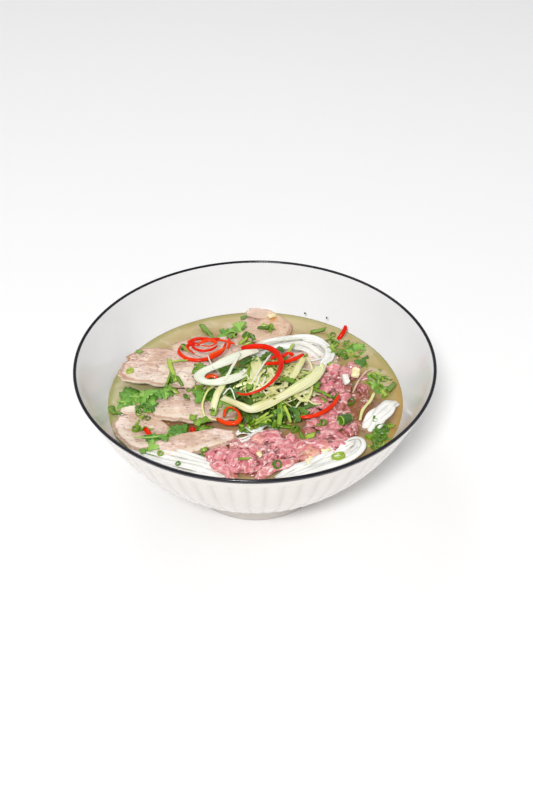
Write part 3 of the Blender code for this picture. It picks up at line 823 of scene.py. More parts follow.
def turned(name, profile, steps, finish, said=None, closed=False):
    """A turned piece from an open profile that starts and ends on the axis, or a closed one."""
    points, faces, values = [], [], {label: [] for label in said or {}}
    rows = []
    for index, (radius, height) in enumerate(profile):
        row = []
        for step in range(steps if radius > 1e-6 else 1):
            angle = math.tau * step / steps
            points.append((radius * math.cos(angle), radius * math.sin(angle), height))
            row.append(len(points) - 1)
            for label, store in values.items():
                store.append(said[label][index])
        rows.append(row)
    if closed:
        rows.append(rows[0])
    for upper, lower in zip(rows, rows[1:]):
        for step in range(steps):
            after = (step + 1) % steps
            corners = [upper[step % len(upper)], lower[step % len(lower)]]
            corners += [lower[after % len(lower)], upper[after % len(upper)]]
            face = list(dict.fromkeys(corners))
            if len(face) > 2:
                faces.append(face)
    return outward(mesh_piece(name, points, faces, finish, values))


def make_bowl():
    """The white bowl: a smooth inside, and flutes between the lip and the belly outside."""
    inset = 0.00012
    inside = smooth_wall(INNER_WALL, 0.0022)
    lip = []
    middle = RIM_RADIUS - LIP_WALL / 2
    for step in range(1, 8):
        angle = math.pi * (1 - step / 8)
        across = (LIP_WALL / 2 - inset) * math.cos(angle)
        lip.append((middle + across, RIM_HEIGHT - LIP_DROP + (LIP_DROP - inset) * math.sin(angle)))
    outside = smooth_wall([(RIM_RADIUS - inset, OUTER_WALL[0][1]), *OUTER_WALL[1:]], 0.0011)
    profile = [*inside, *lip, *outside, *FOOT]
    marks = [0.0] * (len(inside) + 4) + [1.0] * (len(profile) - len(inside) - 4)
    plain = turned("bowl_turned", profile, FLUTES * STEPS_PER_FLUTE, None, {"outside": marks})
    bowl = FLUTE_TREE.grow(
        plain,
        "bowl_body",
        Flutes=float(FLUTES),
        Depth=FLUTE_DEPTH,
        Low_End=0.0185,
        High_End=0.0915,
        Scallop=0.0016,
        Fade=0.0060,
        Finish=GLAZE,
    )
    return served(bowl, "bowl_glaze", "bowl")


def make_rim_line():
    """The dark glaze line: over the lip and a little way down the outside."""
    middle = RIM_RADIUS - LIP_WALL / 2
    section = []
    for step in range(13):
        angle = math.pi * (0.97 - 0.97 * step / 12)
        across = LIP_WALL / 2 * math.cos(angle)
        section.append((middle + across, RIM_HEIGHT - LIP_DROP + LIP_DROP * math.sin(angle)))
    slope = (OUTER_WALL[0][0] - OUTER_WALL[1][0]) / (OUTER_WALL[0][1] - OUTER_WALL[1][1])
    for drop in (0.0005, 0.0010, 0.0015, 0.0019):
        section.append((RIM_RADIUS - slope * drop, OUTER_WALL[0][1] - drop))
    hidden = [(RIM_RADIUS - 0.0014, OUTER_WALL[0][1] - 0.0022), (middle, RIM_HEIGHT - LIP_DROP)]
    line = turned("rim_line", [*section, *hidden], 240, LINE_GLAZE, closed=True)
    return served(line, "rim_glaze", "bowl")


make_bowl()
make_rim_line()

# ---- the broth


def wall_radius(height):
    """The bowl's inner radius at this height."""
    for (near, low), (far, high) in zip(INNER_WALL[1:], INNER_WALL[2:]):
        if height <= high:
            return near + (far - near) * (height - low) / (high - low)
    return INNER_WALL[-1][0]


def make_broth():
    """Broth up to its level: it reaches just into the wall, and climbs a little at its edge."""
    into_wall = 0.0004
    reach = wall_radius(SOUP_LEVEL)
    rings = [0.0, 0.012, 0.025, 0.038, 0.050, 0.060, 0.068, 0.075, 0.081, 0.085, 0.088, 0.0898]
    rings += [0.0908, 0.0915, 0.0920, 0.0925, reach + 2 * into_wall]
    top = [(radius, SOUP_LEVEL + 0.0006 * math.exp((radius - reach) / 0.0011)) for radius in rings]
    wall = [(radius + into_wall, height) for radius, height in reversed(INNER_WALL[1:5])]
    under = smooth_wall([(reach + into_wall, SOUP_LEVEL - 0.0012), *wall], 0.006)
    broth = turned("broth_surface", [*top, *under, (0.0, INNER_WALL[0][1] - 0.0004)], 144, BROTH)
    for vertex in broth.data.vertices:
        if vertex.co.z > SOUP_LEVEL - 0.0002:
            ripple = noise.noise(Vector((vertex.co.x, vertex.co.y, 0)) * 60)
            vertex.co.z += 0.00018 * ripple
    return served(broth, "broth", "soup")


make_broth()

# ---- the noodles

NOODLE_RADIUS = 0.078
NOODLE_EDGE_HEIGHT = 0.0570
NOODLE_MIDDLE_HEIGHT = 0.0625
# x, y, half length, half width, yaw in degrees, height of the hump's top.
NOODLE_HUMPS = (
    (-0.044, -0.062, 0.026, 0.011, -27, 0.0690), (0.034, -0.066, 0.026, 0.009, 14, 0.0695),
    (0.060, -0.053, 0.009, 0.008, 50, 0.0712), (0.080, -0.017, 0.011, 0.007, 46, 0.0700),
    (-0.079, -0.010, 0.008, 0.005, 0, 0.0672), (-0.006, -0.042, 0.018, 0.008, 0, 0.0690),
    (0.020, 0.046, 0.030, 0.014, 0, 0.0690),
)
SUNK_STRANDS = 64
CORE_DROP, CORE_RADIUS, CORE_FLOOR = 0.0022, 0.083, 0.0165
STRAND_FLATNESS = 0.42


def noodle_height(x, y):
    """The height of the heap of noodles at this place."""
    middle = max(0.0, 1 - math.hypot(x, y) / NOODLE_RADIUS)
    rise = NOODLE_MIDDLE_HEIGHT - NOODLE_EDGE_HEIGHT
    height = NOODLE_EDGE_HEIGHT + rise * min(1.0, 1.8 * middle)
    for centre_x, centre_y, half_length, half_width, yaw, top in NOODLE_HUMPS:
        turn = Matrix.Rotation(math.radians(-yaw), 2)
        place = turn @ Vector((x - centre_x, y - centre_y))
        distance = math.hypot(place.x / half_length, place.y / half_width)
        height += max(0.0, top - height) * math.exp(-(distance**4) / 1.6)
    return height


def make_noodle_core():
    """The inside of the heap, under the strands that cover it."""
    rings, spokes = 26, 72
    top, under = [(0, 0, noodle_height(0, 0) - CORE_DROP)], [(0, 0, CORE_FLOOR)]
    for ring in range(1, rings + 1):
        radius = CORE_RADIUS * ring / rings
        floor = CORE_FLOOR + 0.40 * max(0.0, radius - 0.02) + 5.2 * max(0.0, radius - 0.04) ** 2
        for _, across, ahead in around(spokes):
            x, y = radius * across, radius * ahead
            lumps = 0.0014 * noise.noise(Vector((x, y, 0)) * 130)
            top.append((x, y, max(floor + 0.002, noodle_height(x, y) - CORE_DROP + lumps)))
            under.append((x, y, floor))
    points, faces = top + under, disc_faces(rings, spokes)
    core = outward(mesh_piece("noodle_core", points, faces, NOODLE, {"shade": [1.0] * len(points)}))
    return served(core, "noodle", "noodles")


def bundle(lines, chance, points, count, spread, pile, width, wander, steps=34, close=0.0):
    """Strands that run together along a path, side by side and over each other, all in mm."""
    path = through(placed(points), steps)
    spread, pile, width, wander = (size * MM for size in (spread, pile, width, wander))
    for index in range(count):
        shift = ((index + 0.5) / count - 0.5) * spread + chance.uniform(-0.3, 0.3) * width
        lift = pile * (0.5 + 0.5 * math.sin(2.4 * index + chance.uniform(-0.6, 0.6)))
        start, wave, drift = chance.uniform(0, 9), chance.uniform(2.0, 4.0), chance.uniform(-1, 1)
        strand = []
        for step, (place, (_, side, _)) in enumerate(zip(path, frames(path))):
            share = step / (steps - 1)
            sway = wander * math.sin(start + wave * math.pi * share) + 0.6 * wander * drift * share
            rise = 0.4 * wander * math.cos(1.7 * start + 1.3 * wave * math.pi * share)
            shut = 1 - close * share**2
            strand.append(place + side * (shut * shift + sway) + Vector((0, 0, lift + rise)))
        tilt = chance.uniform(-0.5, 0.5)
        lines.take(strand, width * chance.uniform(0.85, 1.12), tilt, chance.uniform(0, 0.5), 0.35)


# Bundles of strands: the places that each runs through, how many strands it has, how far they
# spread and pile up, how wide they are and how far they wander, in mm. Then the number of steps
# along them, and how much closer they end than they start.
NOODLE_BUNDLES = (
    (
        [(-74, -46, 65.5), (-60, -55, 68), (-44, -63, 68.8), (-28, -68, 68), (-14, -74, 65.5)],
        10, 17, 1.4, 3.6, 1.0,
    ),
    (
        [(6, -80.5, 65.5), (22, -77, 67.4), (36, -71.5, 68.8), (48, -66.5, 69.8), (57, -60.5, 70.6),
         (61.8, -54, 71.2), (60.8, -48.2, 70.2), (55, -47.5, 67.2)],
        4, 4.8, 1.4, 4.2, 0.7, 44,
    ),
    ([(12, -77, 66), (27, -70, 68.2), (40, -62, 69), (50, -56, 69.6), (57.5, -50, 69.8)], 5, 8, 1, 3.8, 0.8),
    (
        [(68.5, -32.5, 64), (73.5, -26.5, 66.8), (78.5, -20, 68.8), (83.5, -13.5, 69.2), (88.5, -8, 67.2)],
        6, 9.8, 1.2, 5.6, 0.7, 34, 0.70,
    ),
    ([(-86, -15, 64.8), (-81, -12, 66.4), (-75, -10, 66.6), (-66, -10, 66)], 2, 3.6, 0.8, 4.2, 0.7),
    (
        [(-17, -40, 65.5), (-12, -41, 68.8), (-3, -41, 70.2), (6, -38, 70.2), (14, -34, 68)],
        7, 13, 1.2, 2.4, 1.6,
    ),
    ([(-4, 46, 67), (12, 50, 71), (26, 49, 72.2), (40, 44, 71.5), (50, 34, 68)], 7, 13, 1.8, 3.6, 1.2),
)
LOOP = [(12, 50.5, 70.5), (22, 53, 73.2), (33, 52.2, 74.5), (42, 48.5, 75), (48, 41, 74.6)]
LOOP += [(48.6, 32.5, 74.2), (44.5, 24.5, 73), (40.5, 20, 71)]
LOOP_BUNDLES = (
    (LOOP, 3, 5, 1.2, 4, 0.7, 44),
    (LOOP[3:], 2, 4, 1.0, 4, 1.0),
    ([(27, 29, 72), (37, 30, 73.8), (47, 32.5, 73.5)], 2, 2.6, 0.5, 1.9, 0.8),
    ([(8, 47, 73), (18, 52, 74.5), (30, 56, 73.5), (42, 53, 71.5)], 2, 2.6, 0.5, 1.9, 0.8),
)


def make_noodle_strands():
    """The strands that show: fans along the wall, a corner loop, a wad, and what lies sunk."""
    chance, lines = random.Random(11), Lines()
    for given in NOODLE_BUNDLES:
        bundle(lines, chance, *given)
    for _ in range(SUNK_STRANDS):
        angle = chance.uniform(0, math.tau)
        radius = chance.uniform(0.012, 0.070)
        radius_x, radius_y = chance.uniform(0.010, 0.024), chance.uniform(0.008, 0.018)
        start, turn = chance.uniform(0, 360), chance.uniform(120, 260)
        sunk = []
        for step in range(16):
            bend = math.radians(start + turn * step / 15)
            x = radius * math.cos(angle) + radius_x * math.cos(bend)
            y = radius * math.sin(angle) + radius_y * math.sin(bend)
            reach = math.hypot(x, y)
            if reach > 0.080:
                x, y = x * 0.080 / reach, y * 0.080 / reach
            depth = noodle_height(x, y) - 0.0022 + 0.0012 * math.sin(300 * x + 200 * y)
            sunk.append(Vector((x, y, min(depth, SOUP_LEVEL - 0.0012))))
        lines.take(sunk, chance.uniform(0.0024, 0.0032), 0.0, chance.uniform(0.3, 1.0), 0.3)
    strands = lines.strands("noodle_strands", NOODLE, STRAND_FLATNESS)
    return served(strands, "noodle", "noodles")


def make_noodle_loop():
    """The bundles of noodles that loop over the top at the back right."""
    chance, lines = random.Random(5), Lines()
    for given in LOOP_BUNDLES:
        bundle(lines, chance, *given)
    loop = lines.strands("noodle_loop_strands", NOODLE, STRAND_FLATNESS)
    return served(loop, "noodle", "noodle_loop")


make_noodle_core()
make_noodle_strands()
make_noodle_loop()

# ---- the cooked beef

# Centre, half length and width in mm, yaw, pitch and roll in degrees, sag in mm, outline seed,
# and how many mm its far edge, its left end and its near edge stand up.
SLICES = {
    "beef_slice_left": ((-54.5, 22.8, 72.4), (31.5, 18), (-9, 2, 3), 3, 1.0, (0, 2, 0)),
    "beef_slice_middle": ((-40.5, -9.5, 69.3), (32, 16), (-3, -1, 3), 2, 2.2, (0, 0, 0)),
    "beef_slice_front": ((-38, -46.3, 69.1), (26.5, 8.8), (16, -2, 5), 2, 3.1, (0, 0, 0)),
    "beef_slice_low_left": ((-70, -31.5, 66.3), (19.5, 15), (-55, 0, -6), 1.2, 4.7, (0, 0, 0)),
    "beef_slice_back": ((5.5, 69.5, 69), (18.5, 13.5), (-16, 0, 2), 3, 5.3, (5.5, 0, 0)),
    "beef_slice_under_chili": ((-30, 49, 67), (28, 14), (9, 0, 1), 1.5, 6.1, (0, 0, 0)),
    "beef_slice_right": ((35, 34, 68.8), (20, 12), (12, 0, 2), 1.5, 7.4, (0, 0, 0)),
}
# Torn pale flaps that lie on the left slice and at its near edge.
FLAPS = {
    "beef_flap_far": ((-54.5, 20.5, 75.2), (8.5, 4.2), (14, 3, 8), 1, 9.1, (1, 0, 0)),
    "beef_flap_near": ((-46.5, 8.5, 74.4), (9.5, 5), (-12, 4, 10), 2, 10.3, (0, 0, 0)),
    "beef_flap_middle": ((-42, 16, 75.2), (8, 4.6), (30, -2, 6), 1, 11.2, (0, 1, 0)),
    "beef_flap_left": ((-76, -13.5, 68), (8.5, 4), (-8, 0, 4), 1, 12.4, (0, 1, 0)),
    "beef_flap_back": ((3, 80, 75.2), (8.5, 4), (-10, 4, 14), 1, 13.5, (2, 0, 0)),
}
SLICE_THICKNESS = 0.0040
SLICE_BLUNTNESS = 0.15


def make_slice(node):
    """A cooked slice: an uneven rounded outline, frayed edges, and a loose grain across its face."""
    centre, half, turns, sag, seed, rises = {**SLICES, **FLAPS}[node]
    length, width, sag, far, left, near = (size * MM for size in (*half, sag, *rises))
    flap = node in FLAPS
    thickness = SLICE_THICKNESS * (0.4 if flap else 1.0)
    rings, spokes = (14, 64) if flap else (24, 108)
    points, edges, fats = [], [], []
    for side in (1, -1):
        for ring in range(rings + 1):
            share = math.sin(0.5 * math.pi * ring / rings)
            for angle, across, ahead in around(spokes if ring else 1):
                x, y = share * across, share * ahead
                blunt = SLICE_BLUNTNESS * (math.sqrt(2) * share * min(abs(x), abs(y))) ** 1.5
                edge = 1 + 0.05 * math.sin(2 * angle + seed) + 0.05 * math.sin(3 * angle + 2.3 * seed)
                fray = noise.noise(Vector((4.5 * across, 4.5 * ahead, seed * 3.1)))
                fray += 0.5 * noise.noise(Vector((14 * across, 14 * ahead, seed * 1.7)))
                edge += blunt + (0.16 if flap else 0.085) * fray * share**3
                place = Vector((length * edge * x, width * edge * y, 0))
                wave = 0.0006 * math.sin(4 * x + seed) * math.cos(3 * y)
                drape = 0.0013 * noise.noise(Vector((place.x, place.y, seed)) * 85)
                grain = 0.00022 * noise.noise(Vector((place.x * 260, place.y * 620, seed)))
                body = thickness * (0.5 - 0.08 * noise.noise(place * 110 + Vector((0, 0, seed))))
                body *= max(0.0, 1 - share**14) ** 0.5
                place.z = sag * (0.5 - x * x) + wave + drape + side * (body + 0.5 * grain)
                place.z += far * max(0.0, y) ** 2 * math.exp(-((x / 0.55) ** 2))
                place.z += left * max(0.0, -x) ** 2 + near * max(0.0, -y) ** 2
                points.append(place)
                ridge = math.exp(-(((share - 0.955) / 0.055) ** 2))
                edges.append(ridge if side > 0 else 0.35)
                wisp = noise.noise(Vector((place.x * 90, place.y * 240, seed)))
                fat = 0.8 + wisp if flap else (-y - 0.42) * 2.6 + 0.9 * wisp
                fats.append(min(1.0, max(0.0, fat)) if side > 0 else 0.5)
    move = posed(*placed([centre]), *turns)
    points, faces = [move @ point for point in points], disc_faces(rings, spokes, apart=False)
    made = mesh_piece(node + "_cooked", points, faces, COOKED_BEEF, {"edge": edges, "fat": fats})
    return served(outward(made, joined=True), "cooked_beef", *([] if flap else [node]))


for node in (*SLICES, *FLAPS):
    make_slice(node)

# ---- the rare beef

# Centre, half sizes, yaw in degrees and seed of each heap.
RARE_BEEF = {
    "rare_beef_front": ((-0.0045, -0.060, 0.0685), (0.0245, 0.0155, 0.0075), 4, 1),
    "rare_beef_band": ((0.0365, -0.051, 0.0680), (0.026, 0.0095, 0.0060), 9, 2),
    "rare_beef_middle": ((0.0430, -0.022, 0.0680), (0.012, 0.0125, 0.0050), 25, 3),
    "rare_beef_right": ((0.0515, 0.008, 0.0690), (0.011, 0.0110, 0.0065), 40, 4),
}
# For each heap its folded strips in mm: the places that a strip runs through, its width,
# and how high its middle stands above the broth.
FOLDED_STRIPS = {
    "rare_beef_front": (
        ([(10, -55), (16.5, -51), (22, -53)], 6.0, 5.0),
        ([(16, -49), (20, -45), (25, -44)], 5.5, 5.0),
        ([(-15.5, -52), (-11.5, -48), (-6, -48.5)], 5.5, 4.5),
        ([(-0.5, -49), (6, -43), (13, -46), (15, -52)], 7.0, 7.2),
        ([(12, -60), (17, -56.5), (24, -57.5)], 5.5, 5.0),
        ([(-8, -57), (-4.5, -52), (1, -50.5)], 5.5, 7.0),
        ([(5, -65), (8.5, -60), (12.5, -58.5)], 5.0, 6.2),
        ([(-3.5, -62), (0.5, -56.5), (6, -54.5)], 5.5, 7.6),
        ([(-28, -63.5), (-26, -57.5), (-22.5, -54)], 5.0, 4.8),
        ([(-23.5, -64), (-20.5, -57.5), (-16, -54)], 5.5, 5.6),
        ([(-25.5, -62.5), (-19.5, -69.5), (-12, -76)], 5.0, 4.2),
        ([(-14.5, -71), (-12, -60.5), (-5, -62), (-4.5, -73.5)], 5.5, 6.6),
        ([(-11.5, -70), (-8.7, -65), (-6.5, -68)], 4.0, 5.2),
        ([(-2.5, -71), (3, -67), (8, -65.5)], 4.5, 4.8),
        ([(-0.5, -76), (12, -68), (25, -62)], 5.0, 4.2),
        ([(-18, -52), (-14, -58), (-15, -64)], 4.5, 5.0),
        ([(2, -63), (3, -58), (-1, -54)], 4.0, 7.2),
    ),
    "rare_beef_band": (
        ([(24, -53), (28, -50), (33, -51)], 5.5, 4.6),
        ([(34, -47.5), (45, -41.5), (56, -44.5)], 6.0, 4.6),
        ([(27, -60.5), (34.5, -57), (42, -55)], 5.5, 3.8),
        ([(23, -57.5), (40, -49.5), (57.5, -49)], 7.0, 5.2),
        ([(38, -55.5), (46, -51.5), (54, -52)], 4.5, 4.4),
        ([(28, -54), (34, -48.5), (41, -46)], 4.5, 5.2),
    ),
    "rare_beef_middle": (
        ([(36, -12.5), (40, -8.5), (45.5, -11.5)], 6.0, 4.4),
        ([(30, -21), (33.6, -16), (38.5, -13)], 5.5, 4.0),
        ([(37, -18), (40, -24), (38, -29)], 5.5, 3.6),
        ([(42.5, -15.5), (46.5, -17), (50, -21)], 5.5, 5.2),
        ([(45.5, -20), (42.5, -27), (41, -34)], 5.0, 4.8),
        ([(49.5, -22.5), (49, -29), (45.5, -35)], 5.5, 5.0),
        ([(45.5, -18), (47.2, -25), (45.5, -32)], 4.0, 6.0),
        ([(56, -38.5), (58.5, -34), (62.5, -34.5)], 4.5, 3.6),
        ([(60, -15), (65, -10.5), (71, -10)], 5.0, -1.4),
        ([(50, -9), (55, -12), (60, -15)], 5.0, 0.2),
        ([(52, -20), (58, -18), (65, -20)], 5.0, -0.8),
        ([(56, -28), (61, -24), (67, -25)], 5.5, -1.0),
        ([(30, -28), (34, -33), (40, -35)], 5.5, 1.2),
    ),
    "rare_beef_right": (
        ([(65.5, 22), (69.5, 22), (73, 17)], 5.0, -0.8),
        ([(61, 29), (65.5, 32), (69, 30)], 5.0, 1.5),
        ([(54, 3), (55.5, -1.5), (54, -8)], 5.0, 3.0),
        ([(47, -0.5), (49.5, -2.5), (52, -6)], 5.0, 4.6),
        ([(42.5, -1.5), (46, 3), (51.5, 7)], 5.5, 7.4),
        ([(43, 7.5), (45.2, 11), (49, 11)], 5.0, 7.6),
        ([(48, 6), (52, 4), (55.5, 1)], 5.0, 7.4),
        ([(48, 15), (52, 21.5), (57.5, 19.5)], 5.5, 8.6),
        ([(54.5, 9.5), (57, 15.5), (57.2, 21.5)], 5.0, 8.8),
        ([(46.5, 11.5), (50, 13.5), (53.5, 11)], 5.0, 9.2),
        ([(58, 19), (61, 21), (64, 19)], 4.5, 3.2),
        ([(65.5, 6), (68, 8), (69.5, 5.5)], 4.0, 1.8),
        ([(60, -1), (66, -4), (73, -2)], 5.0, -1.2),
        ([(61, 4), (66, 0.5), (72, 3)], 4.5, -0.9),
    ),
}
FILLERS = {"rare_beef_front": 9, "rare_beef_band": 6, "rare_beef_middle": 3, "rare_beef_right": 3}
STRIP_STEPS = 26
STRIP_CURL = 0.80
STRIP_THICKNESS = 0.0012
RARE_CREASE = 0.30


def lump_points(centre, half, yaw, crease, seed, rings=26, spokes=52, ridge=0.0, square=1.0):
    """Rings of points over a rounded lump, flatter below, whose surface is creased by noise."""
    move = posed(centre, yaw)
    rows = []
    for ring in range(rings + 1):
        tip = math.pi * (0.02 + 0.96 * ring / rings)
        row = []
        for _, across, ahead in around(spokes):
            place = Vector((math.sin(tip) * across, math.sin(tip) * ahead, math.cos(tip)))
            place = Vector([math.copysign(abs(number) ** square, number) for number in place])
            swell = 1 + crease * noise.noise(place * 1.9 + Vector((7.0 * seed, 0, 0)))
            if ridge:
                bend = place * 2.6 + noise.noise_vector(place * 3.1 + Vector((seed, 0, 0))) * 0.7
                swell -= ridge * (1 - abs(noise.noise(bend * 1.6 + Vector((0, 3.0 * seed, 0)))) * 3.2)
            height = half[2] * swell * place.z * (1 if place.z > 0 else 0.6)
            row.append(move @ Vector((half[0] * swell * place.x, half[1] * swell * place.y, height)))
        rows.append(row)
    return rows


def folded_strip(heap, path, width, seed):
    """A thin strip of beef, curled across its width and ruffled along its edges."""
    rows, places = [], evenly(13)
    for index, (place, (_, side, up)) in enumerate(zip(path, frames(path))):
        share = index / (len(path) - 1)
        tone = noise.noise(Vector((share * 3.2, seed * 7.3, 0)))
        half = 0.90 * width * (0.66 + 0.34 * math.sin(math.pi * share)) * (1 + 0.30 * tone)
        bend = max(0.5, STRIP_CURL * (1 + 0.8 * noise.noise(Vector((share * 2.6, seed * 3.1, 4)))))
        sway = 0.40 * noise.noise(Vector((share * 2.2, seed * 1.9, 8)))
        pleats = 1.5 * noise.noise(Vector((share * 2.4, seed * 4.3, 6)))
        row = []
        for across in places:
            angle = bend * (across + sway)
            out = side * math.sin(angle) + up * math.cos(angle)
            spot = place + side * (half * math.sin(angle) / bend)
            spot -= up * (half * (1 - math.cos(angle)) / bend)
            ruffle = math.sin(math.tau * 2.2 * share + 5 * seed + 2 * across)
            crease = noise.noise(Vector((share * 5, across * 3.0, seed * 5.7)))
            pleat = abs(math.sin(math.pi * (0.60 * across + pleats)))
            spot += out * (0.0007 * ruffle * across**2 + 0.0012 * crease + 0.0010 * pleat)
            thick = 0.5 * STRIP_THICKNESS * (1 - 0.55 * across**4)
            row.append((spot, out * thick))
        rows.append(row)
    heap.sheet(rows, places)


def make_rare_beef(node):
    """A heap of rare beef: a creased core under thin sheets that lie in folds."""
    centre, half, yaw, seed = RARE_BEEF[node]
    chance = random.Random(40 + seed)
    strips = Heap("across")
    fillers = []
    for _ in range(FILLERS[node]):
        turn, reach = chance.uniform(0, math.tau), 0.75 * math.sqrt(chance.random())
        spot = Vector((half[0] * reach * math.cos(turn), half[1] * reach * math.sin(turn)))
        spot = Matrix.Rotation(math.radians(yaw), 2) @ spot
        ahead = chance.uniform(0, math.tau)
        step = Vector((math.cos(ahead), math.sin(ahead))) * chance.uniform(3.5, 6.0)
        middle = Vector(centre[:2]) / MM + spot / MM
        bend = Vector((-step.y, step.x)) * chance.uniform(-0.5, 0.5)
        fillers.append(([middle - step, middle + bend, middle + step], 5.0, chance.uniform(2.6, 4.0)))
    for index, (points, width, high) in enumerate([*fillers, *FOLDED_STRIPS[node]]):
        path = through([(x * MM, y * MM, SOUP_LEVEL) for x, y in points], STRIP_STEPS)
        wave = chance.uniform(0, math.tau)
        for step, point in enumerate(path):
            share = step / (STRIP_STEPS - 1)
            point.z += high * MM * (0.30 + 0.70 * math.sin(math.pi * (0.10 + 0.80 * share)) ** 0.8)
            point.z += 0.0005 * math.sin(wave + 11 * share) - 0.0016 * abs(2 * share - 1) ** 6
        folded_strip(strips, path, width * MM, seed * 20 + index)
    made = refine(mark_crease_shade(strips.piece(node + "_folds", RARE_BEEF_LOOK)))
    roughen(made, (650, 0.00016), (270, 0.00095), (120, 0.0010))
    lifted(made)
    served(outward(made), "rare_beef", node)
    core = Heap()
    small = (half[0] * 0.88, half[1] * 0.84, half[2] * 0.42)
    low_centre = (centre[0], centre[1], centre[2] - 0.0012)
    core.loft(lump_points(low_centre, small, yaw, RARE_CREASE, seed, ridge=0.12))
    # The core's lift runs over a higher range, so most of it takes the browner sunk colour and shows as dark
    # gaps between the strips: partly painted shade.
    core = lifted(core.piece(node + "_core", RARE_BEEF_LOOK), 0.0680, 0.0800)
    served(core, "rare_beef", node)


def lifted(obj, low=0.0668, high=0.0708):
    """Marks each point with how far it stands out of the broth, from 0 to 1."""
    values = [min(1.0, max(0.0, (vertex.co.z - low) / (high - low))) for vertex in obj.data.vertices]
    mark(obj.data, "lift", values)
    return obj


CREASE_SHADE_REACH = 0.0030


def mark_crease_shade(obj):
    """Marks each point with how much of what is close around it closes it in, from 0 to 1: how much painted
    shade its crease gets.
    """
    search = BVHTree.FromPolygons(
        [vertex.co for vertex in obj.data.vertices], [face.vertices for face in obj.data.polygons]
    )
    values = []
    for vertex in obj.data.vertices:
        out = vertex.normal
        side = out.orthogonal().normalized()
        other = out.cross(side)
        start = vertex.co + out * 0.0003
        found = 0
        for _, across, ahead in around(7):
            way = out * 0.6 + (side * across + other * ahead) * 0.8
            if search.ray_cast(start, way, CREASE_SHADE_REACH)[0]:
                found += 1
        values.append(found / 7)
    # The dip number darkens the colour as painted shade in the creases.
    mark(obj.data, "dip", values)
    return obj


for node in RARE_BEEF:
    make_rare_beef(node)

# ---- the scallion shreds and ribbons


def pieces_tree():
    """A search tree of every surface served so far, to lay small things on."""
    points, faces = [], []
    for obj in bpy.context.scene.objects:
        if obj.type != "MESH" or obj.hide_render or "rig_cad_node" in obj:
            continue
        start = len(points)
        points.extend(vertex.co.copy() for vertex in obj.data.vertices)
        faces.extend([start + index for index in face.vertices] for face in obj.data.polygons)
    return BVHTree.FromPolygons(points, faces)


SHRED_CENTRE = (0.004, 0.004)
SHRED_HALF = (0.038, 0.034)
SHRED_EDGE = 0.0695
SHRED_TOP = 0.0775
SHREDS = 135


def shred_dome(x, y):
    """The height of the loose heap of shreds at this place."""
    reach = ((x - SHRED_CENTRE[0]) / SHRED_HALF[0]) ** 2 + ((y - SHRED_CENTRE[1]) / SHRED_HALF[1]) ** 2
    rise = (SHRED_TOP - SHRED_EDGE) * max(0.0, 1 - reach) ** 0.8
    return SHRED_EDGE + rise - 0.0045 * max(0.0, reach - 1)


def make_heap_core():
    """The dark inside of the heap of scallion, under its shreds and leaves."""
    rings, spokes = 40, 110
    rows = []
    for ring in range(rings + 1):
        row = []
        reach = 0.90 * max(0.02, ring / rings)
        for _, across, ahead in around(spokes):
            x = SHRED_CENTRE[0] + SHRED_HALF[0] * reach * across
            y = SHRED_CENTRE[1] + SHRED_HALF[1] * reach * ahead
            lumps = 0.0020 * noise.noise(Vector((x, y, 0)) * 210)
            lumps += 0.0016 * noise.noise(Vector((x, y, 3)) * 520)
            row.append(Vector((x, y, shred_dome(x, y) - 0.0026 - 0.004 * reach**6 + lumps)))
        rows.append(row)
    rows.append([Vector((0.96 * point.x, 0.96 * point.y, 0.0672)) for point in rows[-1]])
    heap = Heap("shade")
    heap.loft(rows, shade=1.0)
    return served(heap.piece("scallion_heap_core", HEAP_SHADOW), "scallion_green", "scallion_shreds")


def make_shreds():
    """Shreds of pale scallion thrown loosely over each other, most of them one way."""
    chance = random.Random(23)
    pale, green = Lines(), Lines()
    for index in range(SHREDS):
        angle = chance.uniform(0, math.tau)
        reach = math.sqrt(chance.random()) * 0.94
        x = 0.015 + 0.024 * reach * math.cos(angle)
        y = 0.004 + 0.025 * reach * math.sin(angle)
        turn = math.radians(chance.gauss(55, 30) if chance.random() < 0.7 else chance.uniform(0, 180))
        length = chance.uniform(0.012, 0.028)
        bend = chance.uniform(-1.6, 1.6)
        pile = chance.uniform(-0.0006, 0.0024)
        points = []
        for step in range(9):
            share = step / 8 - 0.5
            heading = turn + bend * share
            x_at = x + length * share * math.cos(heading)
            y_at = y + length * share * math.sin(heading)
            lift = pile + 0.0014 * math.cos(math.pi * share)
            points.append(Vector((x_at, y_at, shred_dome(x_at, y_at) + lift)))
        width = chance.uniform(0.0009, 0.0026)
        tilt = chance.uniform(-0.7, 0.7)
        kind = green if index % 5 == 0 else pale
        kind.take(points, width, tilt, chance.uniform(-0.1, 0.8), 0.4)
    made = pale.strands("scallion_shreds_pale", SCALLION_PALE, 0.30, step=0.0018)
    served(made, "scallion_pale", "scallion_shreds")
    made = green.strands("scallion_shreds_green", SCALLION_GREEN, 0.20, step=0.0018)
    served(made, "scallion_green", "scallion_shreds")


